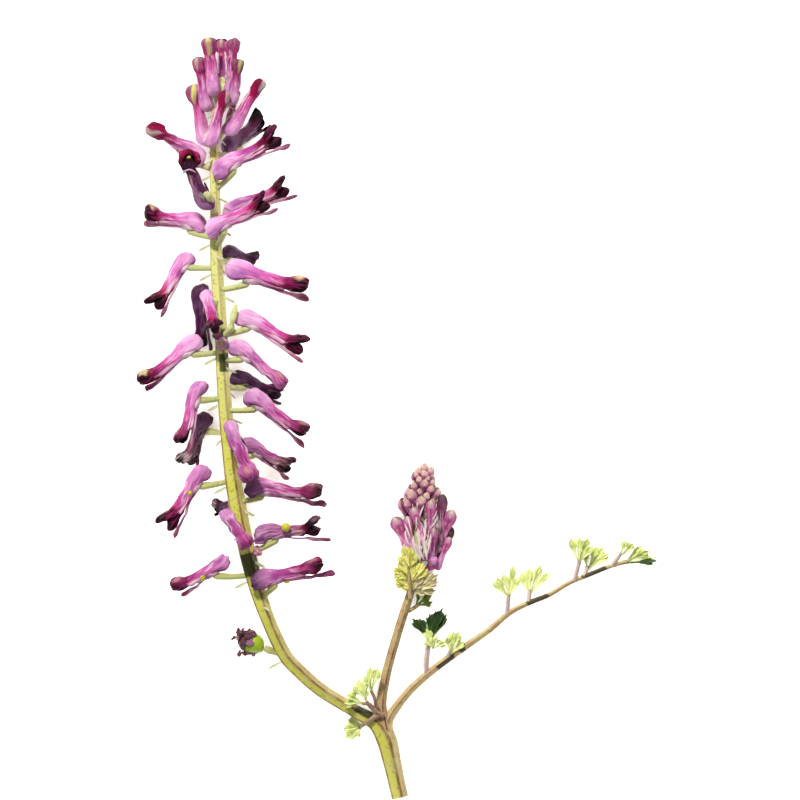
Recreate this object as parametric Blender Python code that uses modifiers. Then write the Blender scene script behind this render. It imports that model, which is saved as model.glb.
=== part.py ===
"""A cut sprig of fumitory, lying on a table and seen from above.

Run with: blender --background --python part.py

The sprig is laid out on a sheet of square steps, each STEP wide, with x to the right and y
down the sheet, as such a drawing is read. Heights above the table are in the same steps.
The sheet's middle is the model's origin, +Y is up the sheet and +Z is up from the table.
"""

import math
from dataclasses import dataclass

import bmesh
import bpy
from mathutils import Matrix, Vector

# Driving dimensions
STEP = 0.00012  # one step of the sheet, in metres
SHEET_MIDDLE = (397.0, 420.0)  # the step that lies at the origin
GAP = 0.0003  # between pieces that touch on the plant
BLADE = 0.0006  # thickness of leaflets and thin petals
BLOOM_LENGTH = 80.0  # a full-grown flower, spur to lip, in steps
TABLE_WIDTH = 0.2
WELD = 1e-6  # corners nearer than this are one
SHARP_EDGE = 50  # degrees: shading is smooth below it
ROUND_STEM = 2  # bevel resolutions, for stems,
THIN_STALK = 1  # for thin stalks
BRISTLE = 0  # and for the smallest points
GOLDEN_ANGLE = math.pi * (3 - math.sqrt(5))


def on_sheet(x, y, height):
    """A point of the sheet, in metres."""
    return Vector((x - SHEET_MIDDLE[0], SHEET_MIDDLE[1] - y, height)) * STEP


# Scene and collections


def clear_scene():
    for obj in list(bpy.data.objects):
        bpy.data.objects.remove(obj, do_unlink=True)


def new_collection(name):
    made = bpy.data.collections.new(name)
    bpy.context.scene.collection.children.link(made)
    return made


clear_scene()
SPRIG = new_collection("fumitory")
CUTTERS = new_collection("cutters")
LOOSE = new_collection("loose_pieces")


def material(name, colour, roughness):
    made = bpy.data.materials.new(name)
    made.use_nodes = True
    shader = made.node_tree.nodes["Principled BSDF"]
    shader.inputs["Base Color"].default_value = (*colour, 1.0)
    shader.inputs["Roughness"].default_value = roughness
    shader.inputs["Metallic"].default_value = 0.0
    made.diffuse_color = (*colour, 1.0)
    return made


STEM_GREEN = material("stem_green", (0.55, 0.56, 0.16), 0.5)
PETAL_MAUVE = material("petal_mauve", (0.62, 0.16, 0.42), 0.45)
SHADED_PETAL = material("shaded_petal", (0.12, 0.02, 0.11), 0.5)
BUD_PINK = material("bud_pink", (0.55, 0.27, 0.36), 0.5)
YOUNG_LEAF = material("young_leaf", (0.58, 0.68, 0.18), 0.55)
DARK_LEAF = material("dark_leaf", (0.07, 0.14, 0.03), 0.55)
FRUIT_GREEN = material("fruit_green", (0.30, 0.42, 0.04), 0.45)
WITHERED = material("withered_petal", (0.12, 0.05, 0.06), 0.8)


# Meshes


def mesh_object(name, mesh, collection=LOOSE):
    obj = bpy.data.objects.new(name, mesh)
    collection.objects.link(obj)
    return obj


def evaluated_mesh(obj):
    bpy.context.view_layer.update()
    graph = bpy.context.evaluated_depsgraph_get()
    return bpy.data.meshes.new_from_object(obj.evaluated_get(graph))


def loft(name, rings):
    """A closed skin over rings that all have the same number of points."""
    mesh = bpy.data.meshes.new(name)
    bm = bmesh.new()
    loops = [[bm.verts.new(point) for point in ring] for ring in rings]
    sides = len(loops[0])
    for near, far in zip(loops, loops[1:]):
        for i in range(sides):
            j = (i + 1) % sides
            bm.faces.new((near[i], near[j], far[j], far[i]))
    bm.faces.new(loops[0][::-1])
    bm.faces.new(loops[-1])
    bmesh.ops.recalc_face_normals(bm, faces=bm.faces)
    bmesh.ops.triangulate(bm, faces=bm.faces)
    bm.to_mesh(mesh)
    bm.free()
    return mesh_object(name, mesh)


def smooth_route(points, per_span):
    """Points on a smooth curve through the given ones, with their radii, `per_span` to a span."""
    ends = [points[0], *points, points[-1]]
    route = []
    for a, b, c, d in zip(ends, ends[1:], ends[2:], ends[3:]):
        for i in range(per_span):
            t = i / per_span
            route.append(
                tuple(
                    0.5
                    * (
                        2 * q
                        + (r - p) * t
                        + (2 * p - 5 * q + 4 * r - s) * t**2
                        + (3 * q - p - 3 * r + s) * t**3
                    )
                    for p, q, r, s in zip(a, b, c, d)
                )
            )
    return [*route, tuple(points[-1])]


def rod(name, route, resolution):
    """A round rod along (point, radius) pairs in metres, as a closed mesh."""
    curve = bpy.data.curves.new(name, "CURVE")
    curve.dimensions = "3D"
    curve.bevel_depth = 1.0
    curve.bevel_resolution = resolution
    curve.use_fill_caps = True
    spline = curve.splines.new("POLY")
    spline.points.add(len(route) - 1)
    for spot, (point, radius) in zip(spline.points, route):
        spot.co = (*point, 1.0)
        spot.radius = radius
    drawn = bpy.data.objects.new(name + "_line", curve)
    LOOSE.objects.link(drawn)
    mesh = evaluated_mesh(drawn)
    bpy.data.objects.remove(drawn)
    bm = bmesh.new()
    bm.from_mesh(mesh)
    bmesh.ops.remove_doubles(bm, verts=bm.verts, dist=WELD)
    bmesh.ops.recalc_face_normals(bm, faces=bm.faces)
    bm.to_mesh(mesh)
    bm.free()
    return mesh_object(name, mesh)


def stalk(name, points, resolution=THIN_STALK, per_span=1):
    """A stem, branch or leaf stalk through (x, y, height, radius) points of the sheet."""
    route = smooth_route(points, per_span)
    return rod(
        name,
        [(on_sheet(x, y, height), radius * STEP) for x, y, height, radius in route],
        resolution,
    )


def fuse(body, pieces):
    """Joins the pieces to the body with one Boolean union, and removes them."""
    group = bpy.data.collections.new(body.name + "_pieces")
    bpy.context.scene.collection.children.link(group)
    for piece in pieces:
        LOOSE.objects.unlink(piece)
        group.objects.link(piece)
    union = body.modifiers.new("union", "BOOLEAN")
    union.operation = "UNION"
    union.operand_type = "COLLECTION"
    union.collection = group
    union.solver = "EXACT"
    joined = evaluated_mesh(body)
    body.modifiers.clear()
    body.data = joined
    for piece in pieces:
        bpy.data.objects.remove(piece)
    bpy.data.collections.remove(group)
    return body


def finish_node(obj, finish, rests=False):
    """Puts a finished body in the sprig, cut flat where it rests on the table."""
    LOOSE.objects.unlink(obj)
    SPRIG.objects.link(obj)
    obj.data.materials.clear()
    obj.data.materials.append(finish)
    obj.data.shade_smooth()
    obj.data.set_sharp_from_angle(angle=math.radians(SHARP_EDGE))
    if rests:
        cut = obj.modifiers.new("rest", "BOOLEAN")
        cut.operation = "DIFFERENCE"
        cut.object = TABLE
    return obj


def table_cutter():
    """A block whose top is the table: it leaves a small flat spot on what lies there."""
    mesh = bpy.data.meshes.new("table_cutter")
    bm = bmesh.new()
    bmesh.ops.create_cube(bm, size=TABLE_WIDTH)
    bm.to_mesh(mesh)
    bm.free()
    cutter = mesh_object("table_cutter", mesh, CUTTERS)
    cutter.location.z = -TABLE_WIDTH / 2
    cutter.hide_render = True
    cutter.display_type = "WIRE"
    return cutter


TABLE = table_cutter()


# The stem, its fork and the long raceme's axis: x, y, height, radius

MAIN_STEM = [
    (401, 799, 8.6, 8.9),
    (396, 779, 9.2, 8.9),
    (391, 759, 11.0, 9.6),
    (385, 738, 13.0, 10.2),
    (375, 724, 16.0, 8.6),
    (356, 713, 19.0, 7.0),
    (322, 692, 26.0, 7.2),
    (300, 673, 33.0, 7.4),
    (284, 655, 39.0, 7.3),
    (268, 621, 48.0, 7.5),
    (257, 590, 52.0, 8.3),
    (247, 553, 54.0, 8.8),
    (236, 500, 55.0, 9.0),
    (229, 450, 55.0, 8.2),
    (223, 385, 55.0, 7.1),
    (220, 320, 55.0, 6.8),
    (216, 260, 55.0, 6.6),
    (215, 200, 55.0, 5.4),
    (214, 150, 55.0, 4.8),
    (218, 112, 55.0, 3.0),
    (221, 92, 55.0, 2.4),
]
HEAD_STALK = [
    (386, 732, 14.0, 6.5),
    (381, 706, 17.0, 5.4),
    (386, 675, 21.0, 4.9),
    (394, 645, 25.0, 4.8),
    (404, 612, 29.0, 4.7),
    (410, 594, 30.0, 4.3),
]


def raceme_axis(y):
    """Where the long raceme's axis crosses a line of the sheet: x, height and radius."""
    for low, high in zip(MAIN_STEM, MAIN_STEM[1:]):
        if high[1] <= y <= low[1]:
            t = (low[1] - y) / (low[1] - high[1])
            return tuple(low[i] + (high[i] - low[i]) * t for i in (0, 2, 3))
    return MAIN_STEM[-1][0], MAIN_STEM[-1][2], MAIN_STEM[-1][3]


# The flowers


@dataclass
class Bloom:
    """One flower: where its spur and mouth lie on the sheet, and how it is turned.

    depth is the spur's height over the raceme's axis. tilt turns the mouth up from the table.
    roll turns the flower about its own length: 0 has its upper petal on the left of the way
    from spur to mouth, 90 has it facing up from the table, and 180 has it on the right.
    joins is the line of the sheet where its pedicel leaves the axis, and seat is how far
    from the spur the pedicel meets it. drop opens the lower petal. girth makes the flower
    stouter than a full-grown one of its length. bract says whether it has kept its bract.
    """

    name: str
    spur: tuple
    mouth: tuple
    depth: float
    tilt: float
    roll: float
    joins: float
    bud: bool = False
    bract: bool = True
    drop: float = 6.0
    seat: float = 25.0
    girth: float = 1.0
    shaded: bool = False
    rests: bool = False


BLOOMS = [
    Bloom("flower_01", (215, 97), (208, 39), 11, 0, 90, 108, bud=True, seat=12, girth=1.1),
    Bloom("flower_02", (222, 86), (221, 39), -16, 0, -90, 96, bud=True, seat=10),
    Bloom("flower_03", (233, 93), (232, 39), -2, 0, 180, 98, bud=True, seat=10),
    Bloom("flower_04", (207, 112), (199, 58), -4, 6, 60, 120, bud=True, seat=10, girth=1.1),
    Bloom("flower_05", (232, 106), (238, 60), 9, 0, 120, 118, bud=True, bract=False, seat=10),
    Bloom("flower_06", (226, 134), (236, 91), -18, 0, -120, 134, bud=True, seat=14, girth=1.1),
    Bloom("flower_07", (206, 147), (193, 86), -6, -4, 40, 142, bud=True, seat=14),
    Bloom("flower_08", (210, 148), (226, 91), 16, 6, 90, 152, bud=True, seat=14, girth=1.1),
    Bloom("flower_09", (228, 136), (261, 80), 2, 0, 140, 146, bud=True, seat=20),
    Bloom("flower_10", (223, 149), (261, 119), -12, -46, 10, 158, shaded=True, rests=True),
    Bloom("flower_11", (206, 160), (149, 126), 4, 12, 180, 170, bud=True),
    Bloom("flower_12", (206, 207), (188, 163), 14, 44, -50, 214, bract=False, girth=1.2, shaded=True),
    Bloom("flower_13", (212, 172), (279, 138), 12, 5, 0, 190),
    Bloom("flower_14", (207, 224), (145, 215), -4, 6, 180, 238),
    Bloom("flower_15", (205, 231), (268, 203), 18, 8, 0, 248),
    Bloom("flower_16", (222, 213), (287, 188), -8, -6, 0, 224),
    Bloom("flower_17", (224, 249), (254, 260), -14, -52, 0, 262, shaded=True, rests=True),
    Bloom("flower_18", (189, 252), (156, 307), 2, 14, 180, 268),
    Bloom("flower_19", (225, 268), (306, 289), 6, 4, 0, 290),
    Bloom("flower_20", (198, 284), (201, 346), -18, -14, 180, 300, shaded=True),
    Bloom("flower_21", (205, 290), (216, 331), 18, 26, 90, 300, girth=1.35),
    Bloom("flower_22", (200, 337), (143, 384), 4, 6, 180, 352),
    Bloom("flower_23", (238, 312), (302, 349), 4, 4, 0, 336),
    Bloom("flower_24", (232, 341), (285, 385), 9, 8, 0, 360, bud=True),
    Bloom("flower_25", (232, 374), (279, 394), -12, -34, 0, 386, shaded=True),
    Bloom("flower_26", (246, 392), (304, 435), 6, 4, 0, 410),
    Bloom("flower_27", (198, 380), (183, 443), 6, 12, 180, 398),
    Bloom("flower_28", (204, 413), (187, 463), -14, -40, 180, 433, shaded=True, rests=True),
    Bloom("flower_29", (204, 465), (168, 527), 4, 6, 180, 480),
    Bloom("flower_30", (228, 420), (252, 480), 21, 12, 90, 440, bud=True, girth=1.35),
    Bloom("flower_31", (242, 440), (289, 468), 1, -14, 10, 456, shaded=True),
    Bloom("flower_32", (245, 485), (320, 495), 6, 4, 0, 502),
    Bloom("flower_33", (223, 510), (249, 546), 21, 26, 90, 526, bud=True, girth=1.3),
    Bloom("flower_34", (240, 503), (215, 508), -18, -58, 180, 516, shaded=True, rests=True),
    Bloom("flower_35", (253, 534), (319, 528), 9, 4, 0, 554, drop=9),
    Bloom("flower_36", (230, 560), (174, 589), 4, 6, 180, 575, drop=13),
    Bloom("flower_37", (251, 581), (321, 567), 17, 0, 0, 598),
]

# Stations along a flower of full length, in steps: along, centre's rise, half height, half width
SPUR_AND_TUBE = [
    (0.0, -4.0, 3.4, 2.6),
    (4.0, -3.0, 7.6, 5.4),
    (13.0, -0.8, 9.0, 6.8),
    (30.0, 0.5, 7.8, 6.2),
    (54.0, 0.0, 6.0, 5.0),
]
UPPER_LIP = [
    (64.0, 2.2, 6.2, 5.8),
    (74.0, 6.2, 5.0, 5.6),
    (80.0, 9.6, 2.8, 2.8),
]
CLOSED_MOUTH = [
    (63.0, 1.0, 7.6, 6.4),
    (74.0, 1.5, 8.8, 7.4),
    (80.0, 1.5, 5.0, 4.6),
]
INNER_PETALS = [
    (50.0, -0.5, 3.0, 3.0),
    (70.0, -1.6, 4.8, 4.4),
    (80.0, -1.8, 2.6, 2.6),
]
LOWER_PETAL = [  # along, centre's rise, half width
    (28.0, -5.0, 2.6),
    (60.0, -6.2, 2.7),
    (77.0, -7.0, 4.4),
    (84.0, -7.0, 2.4),
]
LOWER_PETAL_HINGE = (34.0, -5.0)  # along, rise
SEAT_DROP = 6.0  # how far the calyx starts under the flower's length
CALYX = [(0.0, 4.4), (5.5, 2.6)]  # below its top, radius
BODY_SIDES = 8
INNER_SIDES = 5
CALYX_SIDES = 5


def flower_ring(along, rise, half_height, half_width, sides):
    """A ring round a flower's length, which runs along X with its upper petal at +Z."""
    turns = [(i + 0.5) * math.tau / sides for i in range(sides)]
    return [
        Vector((along, half_width * math.sin(a), rise + half_height * math.cos(a)))
        for a in turns
    ]


def sized(rings, size):
    """The rings at the flower's own size: its length's scale, and its girth's."""
    grow = Matrix.Diagonal((size[0], size[1], size[1])) * STEP
    return [[grow @ point for point in ring] for ring in rings]


def petal_body(name, stations, sides, size):
    rings = [flower_ring(*station, sides) for station in stations]
    return loft(name, sized(rings, size))


def lower_petal(drop, size):
    """A narrow strap from the seat to a spoon-shaped tip, let down by `drop` degrees."""
    thick = BLADE / STEP / 2 / size[1]
    hinge = Vector((LOWER_PETAL_HINGE[0], 0.0, LOWER_PETAL_HINGE[1]))
    turn = Matrix.Rotation(math.radians(drop), 4, "Y")
    corners = [(1, 1), (1, -1), (-1, -1), (-1, 1)]
    rings = []
    for along, rise, half_width in LOWER_PETAL:
        ring = [
            Vector((along, across * half_width, rise + up * thick))
            for up, across in corners
        ]
        if along > hinge.x:
            ring = [hinge + turn @ (point - hinge) for point in ring]
        rings.append(ring)
    return loft("lower_petal", sized(rings, size))


def calyx(along, size):
    """The sepals, as one small cup under the flower."""
    turns = [i * math.tau / CALYX_SIDES for i in range(CALYX_SIDES)]
    rings = [
        [
            Vector((along + radius * math.cos(a), radius * math.sin(a), -SEAT_DROP - down))
            for a in turns
        ]
        for down, radius in CALYX
    ]
    return loft("calyx", sized(rings, size))


def bloom_frame(bloom):
    """The flower's rotation, its spur's place in metres, and its length's and girth's scales."""
    along = on_sheet(*bloom.mouth, 0.0) - on_sheet(*bloom.spur, 0.0)
    left = Vector((-along.y, along.x, 0.0)).normalized()
    tilt = math.radians(bloom.tilt)
    forward = along.normalized() * math.cos(tilt) + Vector((0, 0, math.sin(tilt)))
    top = forward.cross(left)
    roll = math.radians(bloom.roll)
    upper = left * math.cos(roll) + top * math.sin(roll)
    side = upper.cross(forward)
    turn = Matrix((forward, side, upper)).transposed()
    _, height, _ = raceme_axis(bloom.joins)
    spur = on_sheet(*bloom.spur, height + bloom.depth)
    scale = along.length / math.cos(tilt) / (BLOOM_LENGTH * STEP)
    return turn, spur, (scale, scale * bloom.girth)


def make_bloom(bloom):
    turn, spur, size = bloom_frame(bloom)
    mouth = CLOSED_MOUTH if bloom.bud else UPPER_LIP
    body = petal_body(bloom.name, SPUR_AND_TUBE + mouth, BODY_SIDES, size)
    pieces = [calyx(bloom.seat, size)]
    if not bloom.bud:
        pieces.append(petal_body("inner_petals", INNER_PETALS, INNER_SIDES, size))
        pieces.append(lower_petal(bloom.drop, size))
    fuse(body, pieces)
    body.matrix_world = Matrix.Translation(spur) @ turn.to_4x4()
    return finish_node(body, SHADED_PETAL if bloom.shaded else PETAL_MAUVE, bloom.rests)


def seat_of(bloom):
    """Where the pedicel ends, just clear of the calyx, and the way that it points from there."""
    turn, spur, (length_scale, girth_scale) = bloom_frame(bloom)
    below = -(SEAT_DROP + CALYX[-1][0]) * girth_scale
    seat = spur + turn @ (Vector((bloom.seat * length_scale, 0.0, below)) * STEP)
    outward = turn @ Vector((0.0, 0.0, -1.0))
    return seat + outward * GAP, outward


# The stem, with its pedicels and bracts

PEDICEL_RADIUS = 2.4
PEDICEL_TIP = 3.5  # of its length that comes straight into the flower
PEDICEL_BEND = 0.1  # of its reach
PEDICEL_BEND_AT = 0.6  # of the way to its neck
BRACT_DROP = 4.0  # below its pedicel
BRACT_REACH = 12.0
BRACT_SLOPE = 0.5
BRACT_RADIUS = 2.6
BRACT_TIP_RADIUS = 0.5


def pedicel(root, end, outward):
    """A flower's own stalk, from the axis to straight under its seat."""
    neck = end + outward * PEDICEL_TIP * STEP
    reach = (neck - root).length
    bend = root.lerp(neck, PEDICEL_BEND_AT) + outward * reach * PEDICEL_BEND
    route = [(point, PEDICEL_RADIUS * STEP) for point in (root, bend, neck, end)]
    return rod("pedicel", route, THIN_STALK)


def bract(root, end, axis_radius):
    """The small pointed leaf below a pedicel that runs from root to end."""
    down_stem = Vector((0.0, -1.0, 0.0))
    off_stem = Vector((end.x - root.x, 0.0, end.z - root.z)).normalized()
    start = root + down_stem * BRACT_DROP * STEP
    way = (off_stem + down_stem * BRACT_SLOPE).normalized()
    tip = start + way * (axis_radius + BRACT_REACH) * STEP
    return rod("bract", [(start, BRACT_RADIUS * STEP), (tip, BRACT_TIP_RADIUS * STEP)], BRISTLE)


def pedicel_and_bract(joins, end, outward, with_bract=True):
    x, height, axis_radius = raceme_axis(joins)
    root = on_sheet(x, joins, height)
    grown = [pedicel(root, end, outward)]
    if with_bract:
        grown.append(bract(root, end, axis_radius))
    return grown


FRUIT_SEAT = (268, 650, 44)
FRUIT_JOINS = 656
FRUIT_OUTWARD = Vector((0.9, -0.4, 0.0)).normalized()
POD_SEAT = (231, 328, 65)
POD_JOINS = 338
POD_OUTWARD = Vector((-0.1, -1.0, 0.0)).normalized()


def make_stem():
    stem = stalk("stem", MAIN_STEM, ROUND_STEM, per_span=2)
    branches = [stalk("head_stalk", HEAD_STALK, ROUND_STEM, per_span=2)]
    for bloom in BLOOMS:
        branches += pedicel_and_bract(bloom.joins, *seat_of(bloom), bloom.bract)
    branches += pedicel_and_bract(FRUIT_JOINS, on_sheet(*FRUIT_SEAT), FRUIT_OUTWARD)
    branches += pedicel_and_bract(POD_JOINS, on_sheet(*POD_SEAT), POD_OUTWARD, False)
    fuse(stem, branches)
    return finish_node(stem, STEM_GREEN, rests=True)


# The young raceme's head of buds

HEAD_BASE = (412, 588, 30)
HEAD_TIP = (425, 465, 27)
HEAD_CORE = [(0.0, 4.0), (0.25, 9.0), (0.55, 10.0), (0.85, 5.0), (0.96, 2.5)]  # along, radius
HEAD_BUDS = 28
# The buds from the tip down: each value at the youngest, and what it gains by the oldest
BUD_ROOT = (0.08, 0.59)  # of the head's length, from its tip
BUD_OFF_AXIS = (1.5, 13.0)  # steps
BUD_OFF_AXIS_RISE = 0.8  # power: under 1, the head widens fastest near its tip
BUD_LEAN = (16.0, 22.0)  # degrees
BUD_LENGTH = (11.0, 21.0)  # steps
BUD_RADIUS = (4.0, 3.0)  # steps
BUD_SUNK = 0.2  # of its length
BUD_SIDES = 5
BUD_STATIONS = [(0.0, 0.5), (0.35, 0.8), (0.72, 1.0), (0.92, 0.75), (1.0, 0.3)]  # along, radius
LARGE_BUDS = [  # base, tip, radius
    ((418, 556, 31), (398, 515, 28), 7.5),
    ((432, 556, 31), (451, 511, 30), 8.0),
    ((428, 566, 36), (434, 531, 49), 7.0),
    ((430, 566, 34), (452, 531, 32), 6.5),
    ((422, 560, 26), (412, 530, 10), 7.5),
    ((428, 560, 26), (442, 526, 12), 7.5),
    ((421, 562, 36), (413, 532, 47), 6.5),
]


def bud(name, base, tip, radius):
    """A closed bud from its base to its tip, in metres."""
    along = tip - base
    turn = along.to_track_quat("X", "Z")
    rings = []
    for share, width in BUD_STATIONS:
        turns = [i * math.tau / BUD_SIDES for i in range(BUD_SIDES)]
        round_axis = [Vector((0.0, math.cos(a), math.sin(a))) for a in turns]
        rings.append([base + along * share + turn @ (r * radius * width) for r in round_axis])
    return loft(name, rings)


def at_age(young_and_gain, age):
    young, gain = young_and_gain
    return young + gain * age


def make_bud_head():
    base, tip = on_sheet(*HEAD_BASE), on_sheet(*HEAD_TIP)
    axis = tip - base
    ahead = axis.normalized()
    side = ahead.cross(Vector((0, 0, 1))).normalized()
    over = side.cross(ahead)
    core = [(base + axis * share, radius * STEP) for share, radius in HEAD_CORE]
    head = rod("bud_head", core, ROUND_STEM)
    buds = []
    for i in range(HEAD_BUDS):
        age = i / (HEAD_BUDS - 1)
        turn = i * GOLDEN_ANGLE
        outward = side * math.cos(turn) + over * math.sin(turn)
        lean = math.radians(at_age(BUD_LEAN, age))
        off_axis = at_age(BUD_OFF_AXIS, age**BUD_OFF_AXIS_RISE) * STEP
        root = tip - axis * at_age(BUD_ROOT, age) + outward * off_axis
        along = (ahead * math.cos(lean) + outward * math.sin(lean)) * at_age(BUD_LENGTH, age) * STEP
        start = root - along * BUD_SUNK
        buds.append(bud("bud", start, start + along, at_age(BUD_RADIUS, age) * STEP))
    for base_spot, tip_spot, radius in LARGE_BUDS:
        buds.append(bud("large_bud", on_sheet(*base_spot), on_sheet(*tip_spot), radius * STEP))
    fuse(head, buds)
    return finish_node(head, BUD_PINK, rests=True)


# The leaves


@dataclass
class Leaflet:
    """A flat lobed leaflet: its base and its lobes' tips, left to right, as (x, y, height)."""

    base: tuple
    tips: list
    neck: float = 5.0
    lobe: float = 6.0
    notch: float = 0.5


LOBE_SHOULDER = 0.7  # of the way from base to tip
LOBE_TIP = 2.0  # width of a lobe's blunt tip
LOBE_FILL = 0.85  # of the room between neighbouring lobes


def leaflet_outline(leaflet):
    """Round the leaflet's lobes, from one side of its base to the other."""
    base = on_sheet(*leaflet.base)
    tips = [on_sheet(*tip) for tip in leaflet.tips]
    blunt, neck = LOBE_TIP * STEP / 2, leaflet.neck * STEP / 2

    def across(tip):
        way = tip - base
        return Vector((-way.y, way.x, 0.0)).normalized()

    outline = [base + across(tips[0]) * neck]
    for i, tip in enumerate(tips):
        if i:
            outline.append(base.lerp((tips[i - 1] + tip) / 2, leaflet.notch))
        shoulder = base.lerp(tip, LOBE_SHOULDER)
        left = across(tip)
        room = min((tip - other).length for other in tips if other is not tip)
        lobe = min(leaflet.lobe * STEP, room * LOBE_SHOULDER * LOBE_FILL) / 2
        outline += [shoulder + left * lobe, tip + left * blunt]
        outline += [tip - left * blunt, shoulder - left * lobe]
    outline.append(base - across(tips[-1]) * neck)
    return outline


def blade(leaflet):
    """The leaflet as a sheet of BLADE's thickness, split into triangles alike on both faces."""
    outline = leaflet_outline(leaflet)
    mesh = bpy.data.meshes.new("blade")
    bm = bmesh.new()
    heights = [point.z for point in outline]
    corners = [bm.verts.new((point.x, point.y, 0.0)) for point in outline]
    bm.faces.new(corners)
    bmesh.ops.triangulate(bm, faces=bm.faces)
    for corner, height in zip(corners, heights):
        corner.co.z = height
    bm.to_mesh(mesh)
    bm.free()
    sheet = mesh_object("blade", mesh)
    thickness = sheet.modifiers.new("thickness", "SOLIDIFY")
    thickness.thickness = BLADE
    thickness.offset = 0.0
    solid = evaluated_mesh(sheet)
    bpy.data.objects.remove(sheet)
    return mesh_object("blade", solid)


LONG_LEAF_STALK = [
    (395, 710, 14, 4.6),
    (410, 691, 17, 4.2),
    (430, 673, 20, 3.9),
    (450, 658, 22, 3.7),
    (470, 644, 24, 3.5),
    (490, 630, 25, 3.2),
    (510, 613, 26, 2.9),
    (530, 603, 26, 2.7),
    (550, 595, 25, 2.5),
    (570, 583, 24, 2.4),
    (590, 575, 22, 2.3),
    (610, 567, 20, 2.2),
    (628, 562, 18, 2.1),
]
LONG_LEAF_PETIOLULES = [
    [(426, 675, 20, 2.3), (427, 660, 26, 2.2), (429, 645, 30, 2.1)],
    [(448, 660, 22, 2.2), (450, 652, 26, 2.0)],
    [(507, 615, 26, 2.4), (509, 594, 30, 2.1)],
    [(529, 604, 26, 2.4), (530, 590, 24, 2.1)],
    [(575, 581, 24, 2.3), (580, 560, 28, 2.1)],
    [(584, 578, 23, 2.3), (588, 567, 18, 2.1)],
    [(612, 567, 20, 2.2), (622, 553, 24, 2.0)],
]
LONG_LEAF_LEAFLETS = [
    Leaflet(
        (433, 649, 31),
        [(424, 641, 33), (426, 629, 34), (438, 637, 35), (446, 642, 33)],
        lobe=5.0,
        notch=0.65,
    ),
    Leaflet(
        (450, 655, 26),
        [(447, 635, 30), (454, 631, 31), (460, 631, 30), (465, 642, 28)],
        notch=0.6,
    ),
    Leaflet(
        (509, 598, 30),
        [(492, 581, 33), (497, 576, 34), (503, 573, 34), (514, 564, 32), (520, 577, 30)],
    ),
    Leaflet(
        (530, 595, 24),
        [(521, 572, 25), (530, 567, 26), (541, 564, 26), (551, 572, 25)],
        lobe=5.0,
    ),
    Leaflet(
        (579, 563, 28),
        [(571, 537, 32), (580, 536, 33), (589, 537, 32), (594, 546, 30)],
        lobe=4.5,
        notch=0.65,
    ),
    Leaflet(
        (588, 570, 18),
        [(586, 551, 16), (598, 546, 16), (605, 547, 17), (610, 553, 17)],
        notch=0.6,
    ),
    Leaflet((621, 556, 24), [(627, 540, 27), (635, 543, 27)], notch=0.6),
    Leaflet(
        (626, 563, 18),
        [(643, 546, 21), (651, 550, 22), (658, 560, 20)],
        notch=0.6,
    ),
]
DARK_LEAF_STALK = [(425, 668, 10, 2.2), (429, 636, 13, 2.2)]
DARK_LEAFLETS = [
    Leaflet((428, 640, 13), [(412, 619, 16), (420, 618, 15)], lobe=7.0, notch=0.7),
    Leaflet(
        (430, 641, 15),
        [(427, 613, 19), (435, 611, 20), (443, 609, 19), (447, 614, 18)],
        lobe=7.0,
        notch=0.65,
    ),
]
STALK_LEAFLET_STALK = [(413, 609, 27, 2.2), (420, 604, 27, 2.2)]
STALK_LEAFLETS = [
    Leaflet((416, 606, 27), [(421, 593, 28), (432, 592, 29), (433, 602, 28)], lobe=5.0, notch=0.65)
]
FORK_LEAF_STALK = [(370, 705, 33, 2.4), (363, 697, 34, 2.2)]
FORK_LEAF_LEAFLETS = [
    Leaflet((364, 700, 33), [(344, 703, 33), (346, 694, 34), (352, 685, 35), (360, 679, 35)]),
    Leaflet((366, 701, 34), [(363, 676, 38), (371, 667, 39), (379, 676, 36)], lobe=4.5, notch=0.6),
]
FORK_LEAFLET = [
    Leaflet((363, 730, 8), [(355, 738, 8), (344, 738, 9), (342, 729, 9)], lobe=4.5, notch=0.65),
]
RUFF_LEAFLETS = [
    Leaflet(
        (412, 590, 43),
        [(395, 577, 45), (394, 567, 48), (398, 558, 51), (405, 544, 54), (417, 556, 53)],
        lobe=4.5,
        notch=0.7,
    ),
    Leaflet(
        (413, 591, 43),
        [(422, 566, 48), (431, 571, 46), (439, 576, 44), (437, 587, 42), (428, 595, 42)],
        lobe=5.0,
        notch=0.65,
    ),
]


def make_leaf(name, stalks, leaflets, finish):
    """A leaf as one body: its stalk, with side stalks and leaflets sunk into it."""
    pieces = [stalk("stalk", route) for route in stalks] + [blade(spec) for spec in leaflets]
    body = pieces[0]
    body.name = name
    if len(pieces) > 1:
        fuse(body, pieces[1:])
    return finish_node(body, finish)


# The fruit with its dried petals, and the young pod

FRUIT = [(265, 648, 44, 2.4), (261, 646, 44, 8.0), (255, 643, 44, 9.6), (249, 641, 44, 7.0)]
DRIED_PETALS = 12
DRIED_CUP = [(246, 641, 44, 6.0), (240, 640, 44, 10.5), (233, 640, 44, 7.0)]
DRIED_CENTRE = (240, 640, 44)
DRIED_REACH = 14.0
DRIED_SPREAD = (95.0, -70.0)  # degrees off the fruit's length: the first petal, and its change
DRIED_RADII = (3.2, 0.8)  # a petal's root and tip
POD = [(232, 324, 66, 1.6), (233, 319, 67, 3.4), (235, 311, 68, 3.2), (236, 305, 69, 1.2)]


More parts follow.
